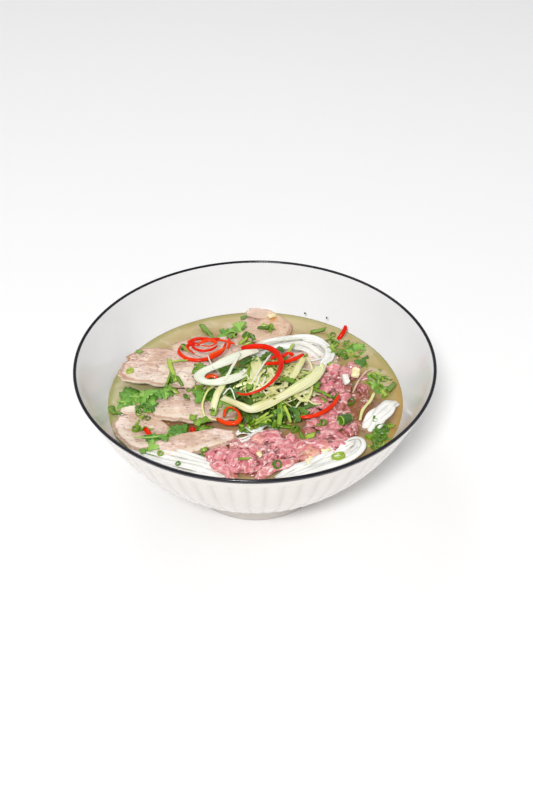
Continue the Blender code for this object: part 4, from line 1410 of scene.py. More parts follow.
def ribbon(heap, points, width, cup, lean, shade):
    """A ribbon of scallion: a shallow channel with fine ribs, which leans by these degrees."""
    steps = 44 if len(points) > 4 else 22
    path, width = through(placed(points), steps), width * MM
    rows, shades, places = [], [], evenly(15)
    for index, (place, (_, side, up)) in enumerate(zip(path, frames(path))):
        share = index / (steps - 1)
        angle = math.radians(lean[0] + (lean[1] - lean[0]) * share)
        wide = side * math.cos(angle) + up * math.sin(angle)
        high = up * math.cos(angle) - side * math.sin(angle)
        half = 0.5 * width * (1 - 0.30 * abs(2 * share - 1) ** 5)
        half *= 1 + 0.16 * noise.noise(Vector((share * 5, width * 900, 0)))
        row = []
        for across in places:
            rib = 0.022 * width * math.cos(11.0 * across)
            ruffle = 0.10 * width * across**2 * math.sin(16 * share + 4 * across + 900 * width)
            dip = cup * width * (across**2 - 0.4) + rib + ruffle
            edge = 0.0006 * (0.5 if abs(across) < 0.95 else 0.18)
            centre = place + wide * (half * across) + high * dip
            row.append((centre, high * edge))
        rows.append(row)
        shades.extend([shade + 0.18 * noise.noise(place * 160)] * (2 * len(places)))
    heap.sheet(rows, places, shade=shades)


# Each ribbon: the places in mm that it runs through, its width in mm, how deep its channel is,
# the degrees that it leans at its start and end, and its shade.
RIBBONS_WHITE = (
    (
        [(2.3, 31, 81.5), (-5.5, 27.6, 82), (-12, 23.3, 82), (-18.4, 18.6, 81.6), (-25, 14.6, 81),
         (-32.5, 11, 80.2), (-35.6, 6.2, 79.8), (-32, 0.8, 79.8), (-25, -1.6, 80.4), (-17.5, 0.2, 81),
         (-10.5, 4.2, 81), (-6.4, 8.4, 80.6), (-8.6, 12, 79.8)],
        6.4, 0.16, (16, -14), 0.10,
    ),
    ([(-9.4, 25.2, 83.8), (-13.2, 14.7, 83.4), (-16.9, 4.8, 82.6), (-19.5, 0, 81)], 1.9, 0.12, (0, 0), 0.0),
    ([(-6, 31, 82.6), (5, 37.5, 82.2), (18, 42.5, 81), (31, 46, 79.2)], 2.0, 0.10, (5, 15), 0.05),
    ([(10.4, 25.3, 82.6), (5.5, 14.6, 82.8), (1, 4.4, 82), (-2.5, -3.5, 80.5)], 1.2, 0.08, (0, 0), 0.0),
    ([(2.9, 4.7, 81.4), (1.9, 0.1, 81), (0.9, -4.4, 80.2)], 1.1, 0.08, (0, 0), 0.0),
    ([(6.6, 3.6, 81.2), (5.4, -0.9, 80.8), (4.0, -4.6, 80)], 1.3, 0.08, (0, 10), 0.0),
    ([(-20.1, -11.2, 79), (-15.5, -7, 80.5), (-12.5, -16.1, 78.8)], 0.9, 0.06, (0, 0), 0.0),
    ([(-30.5, 30, 79.2), (-29, 22, 80.4), (-26.5, 12.5, 81.6)], 0.9, 0.06, (0, 0), 0.0),
    ([(-35, 9, 79.4), (-33, 14, 80), (-29, 17, 80.2)], 1.3, 0.06, (0, 0), 0.0),
)
RIBBONS_PALE = (
    (
        [(-20.8, -12.8, 77.8), (-16, -15.2, 77.4), (-9.7, -19.6, 76.9), (-2.8, -24.6, 76.8),
         (5.9, -21, 78.2), (15.3, -15.2, 79.2), (24.9, -8.8, 79.8), (33.3, -0.7, 80), (39, 7.6, 80),
         (41.4, 14, 79.6), (40.4, 17.5, 78.8)],
        8.0, 0.13, (12, -8), 0.18,
    ),
    (
        [(-19, 1.0, 80.2), (-21.6, -4, 78.4), (-24.2, -10, 76.6), (-25.6, -16, 75), (-26, -21.8, 73.4)],
        4.4, 0.14, (6, -6), 0.22,
    ),
    ([(31.5, 23.9, 80.6), (28, 14.3, 80.8), (24.3, 5.5, 80), (21, 0.5, 79)], 4.4, 0.12, (-10, 12), 0.30),
    ([(32.8, 25, 80), (35.2, 19.2, 79.8), (36.7, 12, 79)], 1.6, 0.10, (0, 0), 0.30),
    ([(29.2, 10.4, 79.6), (33.6, 8, 80.2), (38.4, 10.6, 80)], 2.0, 0.10, (0, 0), 0.85),
    ([(-0.3, 25, 79.6), (1.2, 15, 80.4), (0.2, 6, 80.2), (-1.6, -3, 79)], 7.5, 0.10, (-12, 12), 0.30),
    ([(9, 14, 80), (11, 5, 80.2), (10, -4, 79.6)], 4.0, 0.12, (12, -6), 0.25),
    ([(4, -4, 79.6), (10.4, -8.6, 79.6), (16, -13, 78.6)], 3.4, 0.12, (6, 6), 0.35),
    ([(8.5, -6.8, 79.8), (14.2, -6.4, 80), (20.5, -4.4, 79.6)], 2.8, 0.12, (0, 10), 0.40),
    ([(18, 12, 80), (20.5, 4, 80), (19, -5, 79.2)], 2.4, 0.10, (0, 8), 0.35),
    ([(-25.1, -1, 79), (-30.1, -5.6, 77), (-33, -15.2, 75), (-31.9, -23.7, 73.2), (-28.5, -26.6, 72.4),
      (-24, -28.3, 72.2)], 1.4, 0.08, (0, 0), 0.40),
    ([(36, -2, 78), (34.5, -9, 76.6), (31, -15, 74.6)], 1.5, 0.10, (0, 0), 0.35),
    ([(29, -6, 78.4), (31, -12, 76.6), (36, -16, 74.6), (41, -15, 73.6)], 1.2, 0.08, (0, 0), 0.30),
    ([(24, -9, 78.6), (27, -14, 77.4), (33, -15.5, 76)], 3.0, 0.10, (0, 0), 0.40),
    ([(64.7, -25.4, 68.6), (67.1, -16.8, 70), (72, -9, 70.2), (75.4, 0, 69.6)], 2.0, 0.14, (10, -10), 0.40),
)
RIBBONS_GREEN = (
    ([(-0.3, -32.3, 72), (4.6, -30.4, 74.5), (10.8, -28.8, 76)], 2.6, 0.16, (5, 10), 0.15),
    ([(14.7, -18.6, 77), (15.2, -26.2, 75.4), (14.3, -32.4, 71.5)], 3.0, 0.16, (0, 12), 0.35),
    ([(17.6, -20.5, 77), (19.9, -26.2, 75.2), (21.4, -31, 72)], 2.0, 0.14, (-8, 6), 0.0),
    ([(22.1, -21.5, 76.6), (25.2, -25.6, 75), (26, -30, 71.8)], 4.0, 0.14, (-8, 6), 0.80),
    ([(8, -26.5, 76.4), (4, -29, 75), (0, -30, 73)], 1.8, 0.14, (0, 6), 0.0),
    ([(21.9, 31.7, 79.4), (23.7, 36.8, 79), (25.5, 42.5, 77.8)], 2.2, 0.12, (0, 6), 0.10),
    ([(35.5, -3.6, 76.6), (41, -4.6, 75), (47.5, -8.4, 73.4)], 2.6, 0.12, (0, 6), 0.50),
    ([(-10, 18.8, 79.4), (-5.5, 21.5, 79.8), (-0.5, 25.6, 79.2)], 4.6, 0.12, (0, 6), 0.90),
    ([(-25.2, -19, 74.2), (-26.2, -24.5, 73)], 4.2, 0.14, (0, 0), 0.40),
    ([(-55.5, 27, 78.4), (-54.5, 20, 79), (-52.5, 12, 78.6), (-50, 5, 77.4)], 3.2, 0.16, (4, -6), 0.05),
    ([(-55, 22, 79), (-49, 23.5, 79.4), (-43, 24.5, 78.8)], 1.8, 0.12, (0, 6), 0.10),
)
# Pieces of green leaf: place in mm, heading in degrees, length and width in mm, and shade.
LEAF_BITS = (
    (8.2, 27.5, 80.2, 30, 7, 4.0, 0.9), (16.4, 35.6, 78.6, -50, 6, 3.6, 0.9),
    (20.0, 1.0, 80.2, -20, 9, 4.6, 0.6), (-3.2, -2.8, 79.8, 75, 8, 4.4, 0.5),
    (2.2, -13.4, 79.2, 15, 9, 4.0, 0.6), (39.5, -0.5, 77.4, 70, 6, 3.4, 0.5),
    (-18.6, 13.2, 79.6, 20, 9, 4.6, 1.0), (-29.0, 15.8, 78.8, -15, 8, 5.0, 0.7),
    (-35.5, 18.5, 78.6, -60, 7, 5.5, 0.5), (-13.6, -5.6, 77.2, -50, 10, 5.5, 1.0),
    (-17.5, -7.5, 76.8, 40, 9, 4.8, 0.9), (-8.0, -9.5, 77.2, -10, 9, 5.0, 0.9),
    (-1.0, -15.5, 76.8, 25, 9, 5.0, 1.0), (-28.5, -6.0, 75.4, 25, 12, 6.0, 0.9),
    (-33.5, -8.0, 74.8, -30, 9, 5.0, 0.8), (-36.5, -3.5, 75.4, 10, 6, 3.6, 0.5),
    (12.0, -25.0, 74.4, 60, 8, 4.0, 0.9), (29.0, -22.0, 74.0, -40, 8, 4.2, 0.7),
    (34.0, -18.0, 74.2, 20, 7, 3.6, 0.9), (6.0, -33.0, 72.6, 10, 7, 3.4, 0.8),
    (-10.5, -29.0, 73.0, 70, 8, 4.4, 0.4), (-33.0, -30.5, 73.4, 28, 10, 5.0, 0.5),
    (-38.5, -26.0, 73.4, 75, 5, 4.4, 0.4), (-7.5, 12.5, 78.2, 50, 9, 4.0, 0.9),
    (13.0, 12.0, 78.4, 80, 8, 4.0, 0.9), (26.0, -2.0, 78.0, 35, 8, 4.0, 0.9),
)


def make_ribbons():
    """The broad strips on top of the shreds, and the pieces of green leaf between them."""
    green = list(RIBBONS_GREEN)
    for x, y, z, heading, length, width, shade in LEAF_BITS:
        step_x = 0.5 * length * math.cos(math.radians(heading))
        step_y = 0.5 * length * math.sin(math.radians(heading))
        points = [(x - step_x, y - step_y, z - 0.6), (x, y, z + 0.5), (x + step_x, y + step_y, z - 0.4)]
        green.append((points, width, 0.14, (8 * math.sin(x), -8 * math.sin(y)), shade))
    for name, strips, finish, slot, node in (
        ("scallion_curl_strip", RIBBONS_WHITE, SCALLION_WHITE, "scallion_white", "scallion_curl"),
        ("scallion_leaf_strips", RIBBONS_PALE, SCALLION_PALE, "scallion_pale", "scallion_leaf"),
        ("scallion_green_leaves", green, SCALLION_GREEN, "scallion_green", "scallion_shreds"),
    ):
        heap = Heap("shade", "across")
        for strip in strips:
            ribbon(heap, *strip)
        served(heap.piece(name, finish), slot, node)


make_heap_core()
make_shreds()
surface = pieces_tree()
make_ribbons()

# ---- the chili

# The places in mm that each strip runs through, and half its width.
CHILI_STRIPS = {
    "chili_arc": (
        [(-8.8, 31.3, 83), (-2.9, 31.8, 84), (4.9, 29.8, 85.5), (11.3, 24.3, 87), (15.4, 16, 87.6),
         (16.5, 7, 87.6), (14.5, -1.5, 87), (10, -8.3, 85.5), (4.1, -13, 84), (-2.8, -15.4, 82.5),
         (-7.8, -14.5, 81), (-11.3, -11.2, 80.2)],
        2.0,
    ),
    "chili_bow": (
        [(6.1, 16.1, 81.8), (12.6, 17.1, 81.4), (19, 18.3, 81.4), (25.6, 21.1, 81.7), (31.5, 25.6, 82)],
        1.25,
    ),
    "chili_ring_large": (
        [(-48.5, 42, 77.4), (-49.6, 36, 77.4), (-45.5, 29.5, 77.4), (-39.4, 26.5, 77.6), (-32.9, 26.4, 77.8),
         (-26.4, 29.4, 78.2), (-21.3, 34.2, 78.4), (-18.8, 42.3, 79)],
        1.3,
    ),
    "chili_ring_small": (
        [(-26.5, 44, 80), (-31, 46.5, 80.5), (-37, 45.5, 80.5), (-40.5, 41.5, 80.4), (-39.5, 36, 80.2),
         (-34, 33, 80), (-28, 34.5, 80), (-24.5, 38, 80.2)],
        1.0,
    ),
    "chili_ring_front": (
        [(-24, -27.4, 73), (-18.9, -31.6, 73.2), (-12.7, -33, 73.8), (-9.4, -30.2, 74.8),
         (-10.9, -25.2, 76.2), (-14.7, -21.3, 76.6), (-18.4, -22.2, 76), (-19.6, -27.8, 74.6)],
        1.45,
    ),
    "chili_strip_right": (
        [(27.6, -31.5, 76.6), (35, -31.3, 77.2), (42.5, -27.5, 77.8), (48.5, -21, 78.2), (52.2, -12.5, 78.4)],
        1.35,
    ),
    "chili_strip_back": ([(55.4, 58, 69.5), (58, 59.5, 72), (60.4, 62.5, 74.8), (60.8, 64.5, 76.2)], 1.5),
}
CHILI_FLATNESS = 0.52


def chili_strip(heap, points, half, seed, shade):
    """A strip of chili: glossy round skin on its outer side, flatter flesh on its inner side."""
    steps = max(14, len(points) * 2)
    path, half = through(placed(points), steps), half * MM
    rings, inner, shades = [], [], []
    for index, (place, (_, side, up)) in enumerate(zip(path, frames(path))):
        share = index / (steps - 1)
        size = half * (1 - 0.4 * abs(2 * share - 1) ** 6)
        size *= 1 + 0.10 * noise.noise(Vector((share * 6, seed * 5.0, 0)))
        angle = math.radians(55 + 14 * noise.noise(Vector((share * 2, seed, 3))))
        thick = side * math.cos(angle) + up * math.sin(angle)
        wide = up * math.cos(angle) - side * math.sin(angle)
        ring = []
        for _, out, rise in around(12):
            flat = CHILI_FLATNESS * (1.15 if out > 0 else 0.55)
            ring.append(place + thick * (size * flat * out) + wide * (size * rise))
            inner.append(1.0 if out < -0.25 else 0.0)
            shades.append(shade)
        rings.append(ring)
    heap.loft(rings, inner=inner, shade=shades)


# Small bits of chili: places and half width in mm, and shade.
CHILI_BITS = (
    ([(18.5, 24.2, 81.2), (21.2, 27.2, 81.8), (24.5, 25.2, 81.6), (21.7, 22.6, 81)], 1.1, 0.0),
    (
        [(-39.5, 31.4, 79), (-42.9, 35.1, 79.5), (-43.7, 39.5, 79.5), (-39.9, 41.7, 79.5), (-35.9, 40.6, 79)],
        1.3, 0.1,
    ),
    ([(-44, 44, 79), (-37, 46.5, 80), (-29, 44.5, 80.5), (-23, 47, 79.5)], 1.2, 0.0),
    ([(-36, 40, 81), (-30, 42.5, 81.8), (-25, 40, 81.2), (-29, 37, 80.6), (-35, 38, 80.6)], 1.2, 0.5),
    ([(10, 22.5, 80.6), (15.5, 26.5, 81.2), (19, 24.5, 80.6)], 1.1, 0.2),
    ([(-69, -30, 69), (-66.5, -34.5, 69.2), (-64, -38.5, 68.2)], 1.5, 0.0),
    ([(-40, -29, 67), (-38.5, -33.5, 68.4), (-41, -37, 67.2)], 1.6, 0.0),
    ([(-32, 8, 77), (-28, 9.5, 77.8), (-23.5, 8.5, 77.2)], 1.3, 0.8),
    ([(-30, 30, 78.2), (-23.5, 33.5, 79), (-18.5, 37.5, 79.2)], 1.0, 0.9),
    ([(-17.5, 38.5, 77.5), (-16.5, 43, 79), (-17, 47, 79.5)], 1.2, 0.4),
    ([(-28.5, 46.5, 78.5), (-21.5, 45, 79.5), (-13, 41.5, 79)], 0.8, 0.4),
)


def make_chili():
    """The strips and rings of chili, and the small bits between them."""
    for number, (node, (points, half)) in enumerate(CHILI_STRIPS.items()):
        heap = Heap("inner", "shade")
        shade = 0.45 if node == "chili_ring_front" else 0.1 * (number % 3)
        chili_strip(heap, points, half, number, shade)
        served(heap.piece(node + "_cut", CHILI), "chili", node)
    heap = Heap("inner", "shade")
    for number, (points, half, shade) in enumerate(CHILI_BITS):
        chili_strip(heap, points, half, 20 + number, shade)
    served(heap.piece("chili_bits", CHILI), "chili")


make_chili()

# ---- herbs and cut scallion


def top_at(tree, x, y):
    """Where something dropped at this place comes to lie."""
    spot, normal, _, _ = tree.ray_cast(Vector((x, y, 0.2)), Vector((0, 0, -1)))
    if spot is None:
        return Vector((x, y, SOUP_LEVEL)), Vector((0, 0, 1))
    return spot, normal


def cut_ring():
    """A thin slice of scallion, 1 in outer radius."""
    heap = Heap("inner")
    sides, half = 14, 0.42
    rings = ((0.74, half, 1), (0.96, half, 0.3), (1.0, 0.7 * half, 0), (1.0, -0.7 * half, 0))
    rings += ((0.96, -half, 0.3), (0.74, -half, 1))
    points, faces, inner = [], [], []
    for radius, height, inside in rings:
        for _, across, ahead in around(sides):
            points.append(Vector((radius * across, 0.82 * radius * ahead, height)))
            inner.append(float(inside))
    for row in range(len(rings)):
        low, high = row * sides, ((row + 1) % len(rings)) * sides
        for side in range(sides):
            after = (side + 1) % sides
            faces.append((low + side, low + after, high + after, high + side))
    heap.take(points, faces, inner=inner)
    return heap.piece("ring_shape", None)


def cut_chip(length, width, bend):
    """A bent cut of green leaf, of about this length and width, and thin."""
    heap = Heap("inner")
    columns, rows = 5, 3
    points, faces, inner = [], [], []
    for side in (1, -1):
        for row in range(rows):
            for column in range(columns):
                along_cut = column / (columns - 1) - 0.5
                across = row / (rows - 1) - 0.5
                height = -bend * (2 * across) ** 2 + 0.3 * bend * (2 * along_cut) ** 2
                y = width * across * (1 - 0.25 * abs(along_cut))
                points.append(Vector((length * along_cut + 0.15 * across, y, height + 0.05 * side)))
                inner.append(0.0 if side > 0 else 1.0)
    layer = rows * columns
    for start in (0, layer):
        for row in range(rows - 1):
            for column in range(columns - 1):
                low = start + row * columns + column
                faces.append((low, low + 1, low + columns + 1, low + columns))
    edge = list(range(columns))
    edge += [row * columns + columns - 1 for row in range(1, rows)]
    edge += [(rows - 1) * columns + column for column in range(columns - 2, -1, -1)]
    edge += [row * columns for row in range(rows - 2, 0, -1)]
    for first, second in zip(edge, edge[1:] + edge[:1]):
        faces.append((first, second, layer + second, layer + first))
    heap.take(points, faces, inner=inner)
    return heap.piece("chip_shape", None)


def herb_leaf():
    """A lobed leaf, 1 from its foot to its tip: three lobes, each with rounded teeth."""
    heap = Heap("vein")
    spokes, rings = 40, 4
    outline = []
    for angle, _, _ in around(spokes):
        lobes = 0.70 + 0.20 * math.cos(3 * angle) + 0.03 * math.cos(6 * angle)
        teeth = 0.08 * math.cos(12 * angle + 0.6) + 0.035 * math.cos(19 * angle)
        foot = 0.45 * math.exp(-(((angle - math.pi) / 0.35) ** 2))
        outline.append((lobes + teeth) * (1 - foot))
    points, vein = [], []
    for side in (1, -1):
        points.append(Vector((0, 0, 0.02 * side)))
        vein.append(1.0)
        for ring in range(1, rings + 1):
            share = ring / rings
            for (angle, across, ahead), edge in zip(around(spokes), outline):
                reach = edge * ring / rings
                fold = 0.10 * abs(math.sin(1.5 * angle)) * share - 0.16 * share**2
                curl = 0.05 * math.sin(12 * angle + 0.6) * share**3
                x, y = 0.58 * reach * across, 0.58 * reach * ahead
                points.append(Vector((x, y, fold + curl + 0.018 * side * (1 - 0.8 * share**4))))
                vein.append(max(0.0, math.cos(3 * angle)) ** 24 * (1 - 0.5 * share) + 0.2 * (1 - share))
    heap.take(points, disc_faces(rings, spokes), vein=vein)
    return heap.piece("leaf_shape", None)


# Nothing is scattered past this reach, and right of this side it lies lower, in mm.
SCATTER_REACH, SUNK_SIDE = 91, 42


class Scatter:
    """Places for one kind of small thing, with the turn, size and shade of each."""

    def __init__(self, seed):
        self.chance = random.Random(seed)
        self.points, self.turns, self.sizes, self.shades = [], [], [], []

    def drop(self, tree, x, y, size, tilt=30, yaw=None, shade=None, lift=0.3):
        """Lays one thing on what is under it, leaning up to the tilt in degrees."""
        chance = self.chance
        spot, normal = top_at(tree, x, y)
        lean = normal if normal.z > 0.5 else Vector((0, 0, 1))
        yaw = chance.uniform(0, 360) if yaw is None else yaw
        spin = Matrix.Rotation(math.radians(yaw), 3, "Z")
        tip = Matrix.Rotation(math.radians(chance.uniform(-tilt, tilt)), 3, "X")
        tip = tip @ Matrix.Rotation(math.radians(chance.uniform(-tilt, tilt)), 3, "Y")
        lay = Vector((0, 0, 1)).rotation_difference(lean).to_matrix()
        lift = chance.uniform(*lift) if isinstance(lift, tuple) else lift
        self.points.append(spot + Vector((0, 0, lift * size)))
        self.turns.append(Vector((lay @ tip @ spin).to_euler()))
        self.sizes.append(size)
        self.shades.append(chance.uniform(0.1, 0.9) if shade is None else shade)

    def zone(self, tree, x, y, reach_x, reach_y, count, low, high, **rest):
        """Drops this many things, of sizes from low to high, round a place (all in mm)."""
        for _ in range(count):
            angle = self.chance.uniform(0, math.tau)
            reach = math.sqrt(self.chance.random())
            at_x = x + reach_x * reach * math.cos(angle)
            at_y = y + reach_y * reach * math.sin(angle)
            if math.hypot(at_x, at_y) < SCATTER_REACH:
                self.drop(tree, at_x * MM, at_y * MM, self.chance.uniform(low, high) * MM, **rest)

    def piece(self, name, shape, finish):
        said = {"turn": self.turns, "size": self.sizes, "shade": self.shades}
        spots = mesh_piece("spots", self.points, [], None, said)
        made = SCATTER_TREE.grow(spots, name, Shape=shape, Size=1.0, Finish=finish)
        bpy.data.objects.remove(shape)
        return made


# Rings and chips: x, y, reach along x and y, in mm, number of rings, number of chips.
GREEN_ZONES = (
    (-14, 66, 8, 7, 4, 5), (9, 67, 5, 4, 3, 3), (-47, 50, 3, 4, 1, 2), (-6, 56, 8, 4, 3, 5),
    (32, 63, 2, 2, 1, 1), (47, 66, 10, 4, 3, 9), (56, 58, 10, 6, 4, 14), (64, 49, 9, 7, 4, 14),
    (55, 40, 6, 6, 2, 6), (72, 38, 5, 6, 2, 3), (49, 24, 5, 5, 1, 3), (80, 8, 6, 9, 4, 10),
    (76, 16, 5, 7, 4, 7), (76, -37, 7, 6, 7, 9), (73, -22, 6, 5, 1, 2), (30, -41, 6, 3, 5, 3),
    (40, -32, 3, 2, 1, 1), (47, -5, 6, 5, 1, 3), (15, -31, 12, 4, 2, 8), (8, -26, 14, 4, 1, 16),
    (-2, -28, 10, 4, 1, 6), (-14, -8, 10, 6, 0, 8), (-8, 26, 12, 6, 2, 10), (14, 30, 10, 5, 2, 8),
    (22, -20, 10, 4, 1, 8), (-38, -2, 8, 6, 3, 10), (-52, 2, 5, 9, 3, 6), (-36, 14, 8, 3, 0, 4),
    (-70, -16, 5, 6, 4, 6), (-73, -30, 4, 4, 2, 2), (-34, -31, 5, 3, 1, 4), (-58, -55, 2, 2, 2, 0),
    (-31, -57, 3, 2, 3, 2), (-6, -38, 4, 3, 1, 3), (80, -48, 3, 3, 1, 3), (-88, -12, 2, 5, 0, 3),
    (0, 0, 84, 84, 4, 10), (80, -44, 7, 6, 4, 10), (72, -47, 6, 4, 2, 5), (84, -31, 3, 5, 1, 4),
    (83, 20, 3, 6, 1, 4),
)


def make_green_bits(tree):
    rings, chips, slivers = Scatter(71), Scatter(72), Scatter(73)
    for x, y, reach_x, reach_y, ring_count, chip_count in GREEN_ZONES:
        lie = {"tilt": 24, "lift": (-0.16, 0.10)} if x > SUNK_SIDE else {"tilt": 36}
        rings.zone(tree, x, y, reach_x, reach_y, ring_count, 1.5, 2.9, **lie)
        chips.zone(tree, x, y, reach_x, reach_y, (chip_count + 1) // 2, 4.0, 7.0, **lie)
        slivers.zone(tree, x, y, reach_x, reach_y, chip_count // 2, 4.5, 8.5, **lie)
    for x, y, size, yaw in ((-33, 73, 12.0, 118), (87, 8, 11.5, 62), (-90, -12, 9.5, 112), (43, 71, 10.0, 8)):
        slivers.drop(tree, x * MM, y * MM, size * MM, 12, yaw, 0.55, 0.2)
    rings.drop(tree, 0.0492, -0.0630, 0.0043, 4, 10, 0.15, -0.02)
    for x, y, size in ((12.3, -69, 3.4), (59.9, -4.7, 3.7), (77.4, -32.2, 4.6), (76.9, -40.1, 4.2)):
        rings.drop(tree, x * MM, y * MM, size * MM, 5, 40, 0.80, 0.02)
    for scatter, name, shape in (
        (rings, "scallion_rings", cut_ring()),
        (chips, "scallion_chips", cut_chip(0.9, 0.62, 0.12)),
        (slivers, "scallion_slivers", cut_chip(1.0, 0.30, 0.06)),
    ):
        served(scatter.piece(name, shape, SCALLION_GREEN), "scallion_green")


# Clusters of herb leaves: x, y, reach along x and y in mm, number, smallest and largest size in mm.
HERB_ZONES = (
    (-79, 3, 5, 3, 6, 10, 14), (-69, -1, 7, 3, 8, 11, 15), (-59, -1, 4, 3, 4, 9, 12),
    (-81, -6, 5, 4, 6, 8, 12), (-68, -9, 6, 5, 6, 8, 12), (-50, -31, 6, 3, 6, 10, 14),
    (-61, -42, 7, 2.5, 5, 8, 12), (-65, -51, 4, 3, 3, 8, 11), (-16, 70, 7, 4, 6, 8, 12),
    (-33, -33, 4, 2, 2, 8, 11), (-31, -6, 5, 4, 4, 9, 12), (-17, 22, 8, 6, 7, 9, 12),
    (0, 28, 9, 5, 7, 9, 12), (20, 29, 8, 4, 5, 8, 11), (-16, -12, 7, 5, 4, 8, 11),
    (67, 50, 7, 5, 8, 8, 12), (78, 4, 4, 5, 3, 8, 11), (76, 17, 5, 6, 4, 8, 12),
    (16, -26, 8, 3, 4, 8, 11), (77, -36, 6, 5, 4, 7, 10),
)
# Leaves that float sunk at the right: place and size in mm, and yaw.
OLIVE_LEAVES = ((78, 22, 12, 40), (74.5, 14.4, 11, 120), (82, 28, 9, 200), (70, 33, 10, 300))
HERB_STEMS = (
    [(-74, -42, 71.2), (-64, -43.5, 72.2), (-54, -42, 72.8)],
    [(-79, -1, 70.2), (-70, -4, 71.5), (-62, -2, 72)],
)


def make_herbs(tree):
    leaves = Scatter(81)
    for x, y, reach_x, reach_y, count, low, high in HERB_ZONES:
        lift = (-0.08, 0.10) if x > SUNK_SIDE else (0.06, 0.30)
        leaves.zone(tree, x, y, reach_x, reach_y, count, low, high, tilt=20, lift=lift)
    for x, y, size, yaw in OLIVE_LEAVES:
        leaves.drop(tree, x * MM, y * MM, size * MM, 4, yaw, 0.9, -0.02)
    served(leaves.piece("herb_leaves", herb_leaf(), HERB), "herb_green")
    stems = Lines()
    for points in HERB_STEMS:
        stems.take(placed(points), 0.0013, 0.0, 0.2, 0.3)
    served(stems.strands("herb_stems", HERB, 0.9), "herb_green")


make_herbs(surface)
make_green_bits(surface)

# ---- garlic, onion, the cut tube, specks

CHUNK_SQUARE = 0.62
GARLIC = {
    "garlic_chip": ((0.0640, 0.0095, 0.0785), (0.0044, 0.0026, 0.0026), 76),
    "onion_piece": ((0.0572, 0.0030, 0.0785), (0.0046, 0.0021, 0.0022), 100),
}
# Crumbs of garlic and fat: place, half sizes and yaw, in mm and degrees.
CREAM_BITS = (
    (2.0, -63.0, 74.4, (2.2, 1.5, 0.9), 120), (20.0, -66.0, 70.0, (2.4, 1.2, 0.8), 30),
    (32.0, -63.0, 69.2, (3.6, 2.0, 0.9), 60), (42.0, -56.0, 71.0, (3.0, 1.2, 0.7), 10),
    (12.0, 77.0, 76.0, (3.0, 1.6, 1.0), 40),
)
TUBE_CENTRE = (0.0545, -0.0345, 0.0770)
TUBE_LENGTH, TUBE_RADIUS, TUBE_WALL, TUBE_YAW = 0.0085, 0.0033, 0.0007, 40
TUBE_TILT = 104


def make_small_things():
    for number, (node, (centre, half, yaw)) in enumerate(GARLIC.items()):
        heap = Heap()
        heap.loft(lump_points(centre, half, yaw, 0.30, 20 + number, 14, 20, square=CHUNK_SQUARE))
        finish, slot = ((GARLIC_LOOK, "garlic"), (ONION, "onion"))[number]
        served(heap.piece(node + "_cut", finish), slot, node)
    heap = Heap()
    for number, (x, y, z, half, yaw) in enumerate(CREAM_BITS):
        place, size = placed([(x, y, z), half])
        heap.loft(lump_points(place, size, yaw, 0.7, 30 + number, 10, 14, square=CHUNK_SQUARE))
    served(heap.piece("garlic_bits", GARLIC_LOOK), "garlic")
    profile = []
    for radius, height in ((0.0, 1), (0.35, 1), (1, 0.75), (1, 0), (1, -0.75), (0.35, -1), (0, -1)):
        profile.append((TUBE_RADIUS - TUBE_WALL * (1 - radius), 0.5 * TUBE_LENGTH * height))
    inner = [1.0, 0.5, 0.0, 0.0, 0.0, 0.5, 1.0]
    tube = turned("scallion_tube_cut", profile, 28, SCALLION_GREEN, {"inner": inner}, closed=True)
    inner = [number.value for number in tube.data.attributes["inner"].data]
    # The inside of the tube is painted darker than its cut rim: painted shade in the hole.
    mark(tube.data, "shade", [(0.95, 0.1, 0.7)[round(2 * value)] for value in inner])
    tube.data.transform(posed(TUBE_CENTRE, TUBE_YAW, TUBE_TILT))
    served(tube, "scallion_green", "scallion_tube")


make_small_things()

PINK_STEM = ((62, 2.5, 68), (64.2, 7.5, 69.6), (66.5, 12.4, 70.6), (69.5, 17, 71.2), (72, 20.7, 71.2))
PINK_STEM += ((75.5, 24.1, 70.2),)
WALL_SPECKS = ((34.3, 81.5, 74.5), (48.8, 74.5, 75.5))
OIL_SPACING, OIL_DENSITY = 0.0052, 22000.0
OIL_SMALLEST, OIL_LARGEST = 0.0003, 0.0012


def make_last_bits():
    """The pale stem at the right, two specks on the back wall, and oil drops on the broth."""
    stem = Lines()
    stem.take(placed(PINK_STEM), 0.0014, 0.0, 0.1, 0.4)
    served(stem.strands("pale_stem", STEM, 0.8), "onion")
    heap = Heap()
    for number, place in enumerate(placed(WALL_SPECKS)):
        heap.loft(lump_points(place, (0.0007, 0.0004, 0.0011), 20, 0.3, 60 + number, 6, 8))
    served(heap.piece("wall_specks", SPECK), "herb_green")
    disc = turned("oil_ground", [(0.001, SOUP_LEVEL + 0.00005), (0.086, SOUP_LEVEL + 0.00005)], 48, None)
    sizes = {"Spacing": OIL_SPACING, "Smallest": OIL_SMALLEST, "Largest": OIL_LARGEST}
    drops = DROP_TREE.grow(disc, "oil_drops", **sizes, Density=OIL_DENSITY, Seed=5, Finish=OIL)
    served(drops, "broth")


make_last_bits()

# ---- floor, lights, camera


def make_floor():
    bpy.ops.mesh.primitive_plane_add(size=6)
    floor = bpy.context.object
    floor.name = "floor"
    made = Finish("pale_floor", Roughness=0.9, Specular_IOR_Level=0.0)
    made.color(made.mix(made.noise(3, 2), (0.93, 0.93, 0.93, 1), (0.95, 0.95, 0.95, 1)))
    floor.data.materials.append(made.material)


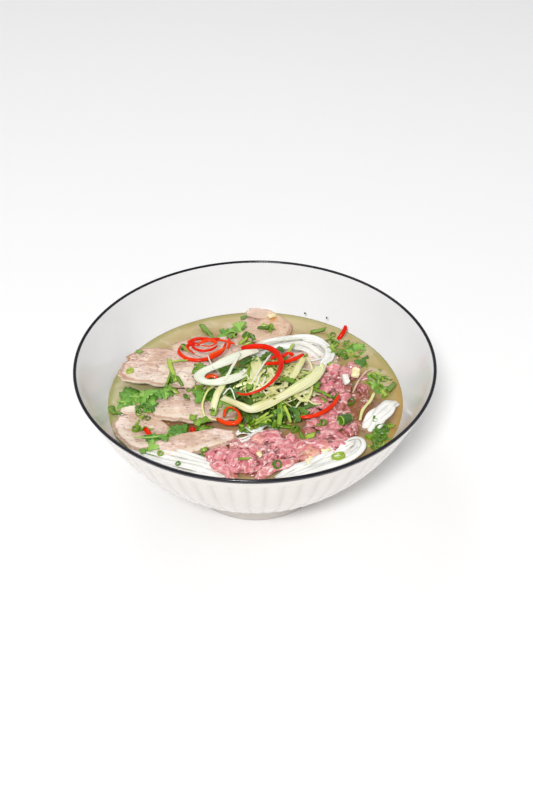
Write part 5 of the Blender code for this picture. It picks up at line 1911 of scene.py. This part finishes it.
def make_light(name, place, aim, size, power):
    data = bpy.data.lights.new(name, "AREA")
    data.shape = "DISK"
    data.size = size
    data.energy = power
    light = linked(name, data)
    light.location = place
    light.rotation_euler = (Vector(aim) - Vector(place)).to_track_quat("-Z", "Y").to_euler()


CAMERA_PLACE = Vector((0, -0.67277, 0.60721))
CAMERA_AIM = Vector((0.006888, -0.015650, 0.077323))
CAMERA_LENS = 61.05
CAMERA_ROLL = -0.34


def make_camera():
    data = bpy.data.cameras.new("camera")
    camera = linked("camera", data)
    data.sensor_width = 36
    data.lens = CAMERA_LENS
    data.clip_start, data.clip_end = 0.01, 20
    ahead = (CAMERA_AIM - CAMERA_PLACE).normalized()
    side = ahead.cross(Vector((0, 0, 1))).normalized()
    up = side.cross(ahead)
    roll = math.radians(CAMERA_ROLL)
    right = side * math.cos(roll) + up * math.sin(roll)
    top = up * math.cos(roll) - side * math.sin(roll)
    turn = Matrix((right, top, -ahead)).transposed().to_4x4()
    camera.matrix_world = Matrix.Translation(CAMERA_PLACE) @ turn
    bpy.context.scene.camera = camera


SKY_BRIGHT_SIDE = (0.18, 0.22, 0.96)


def make_world():
    """Soft white light from all round, brighter from one side."""
    world = bpy.data.worlds.new("soft_white")
    bpy.context.scene.world = world
    world.use_nodes = True
    sky = Nodes(world.node_tree)
    background = world.node_tree.nodes["Background"].inputs
    background["Color"].default_value = (1, 1, 1, 1)
    way = sky.add("ShaderNodeTexCoord")["Generated"]
    side = sky.add("ShaderNodeVectorMath", {0: way, 1: SKY_BRIGHT_SIDE}, operation="DOT_PRODUCT")["Value"]
    level = {"Value": side, "From Min": -0.1, "From Max": 1.0, "To Min": 0.28, "To Max": 0.52}
    sky.put(background["Strength"], sky.add("ShaderNodeMapRange", level)["Result"])
    bpy.context.scene.view_settings.view_transform = "Standard"


make_floor()
make_light("key", (-0.30, -1.79, 1.80), (0, 0, 0.05), 0.40, 47.0)
make_light("right_fill", (1.1, 0.1, 0.9), (0, 0, 0.05), 1.2, 1.6)
make_light("upper_left", (-0.40, 0.55, 1.30), (0, 0, 0.05), 0.70, 3.0)
make_world()
make_camera()
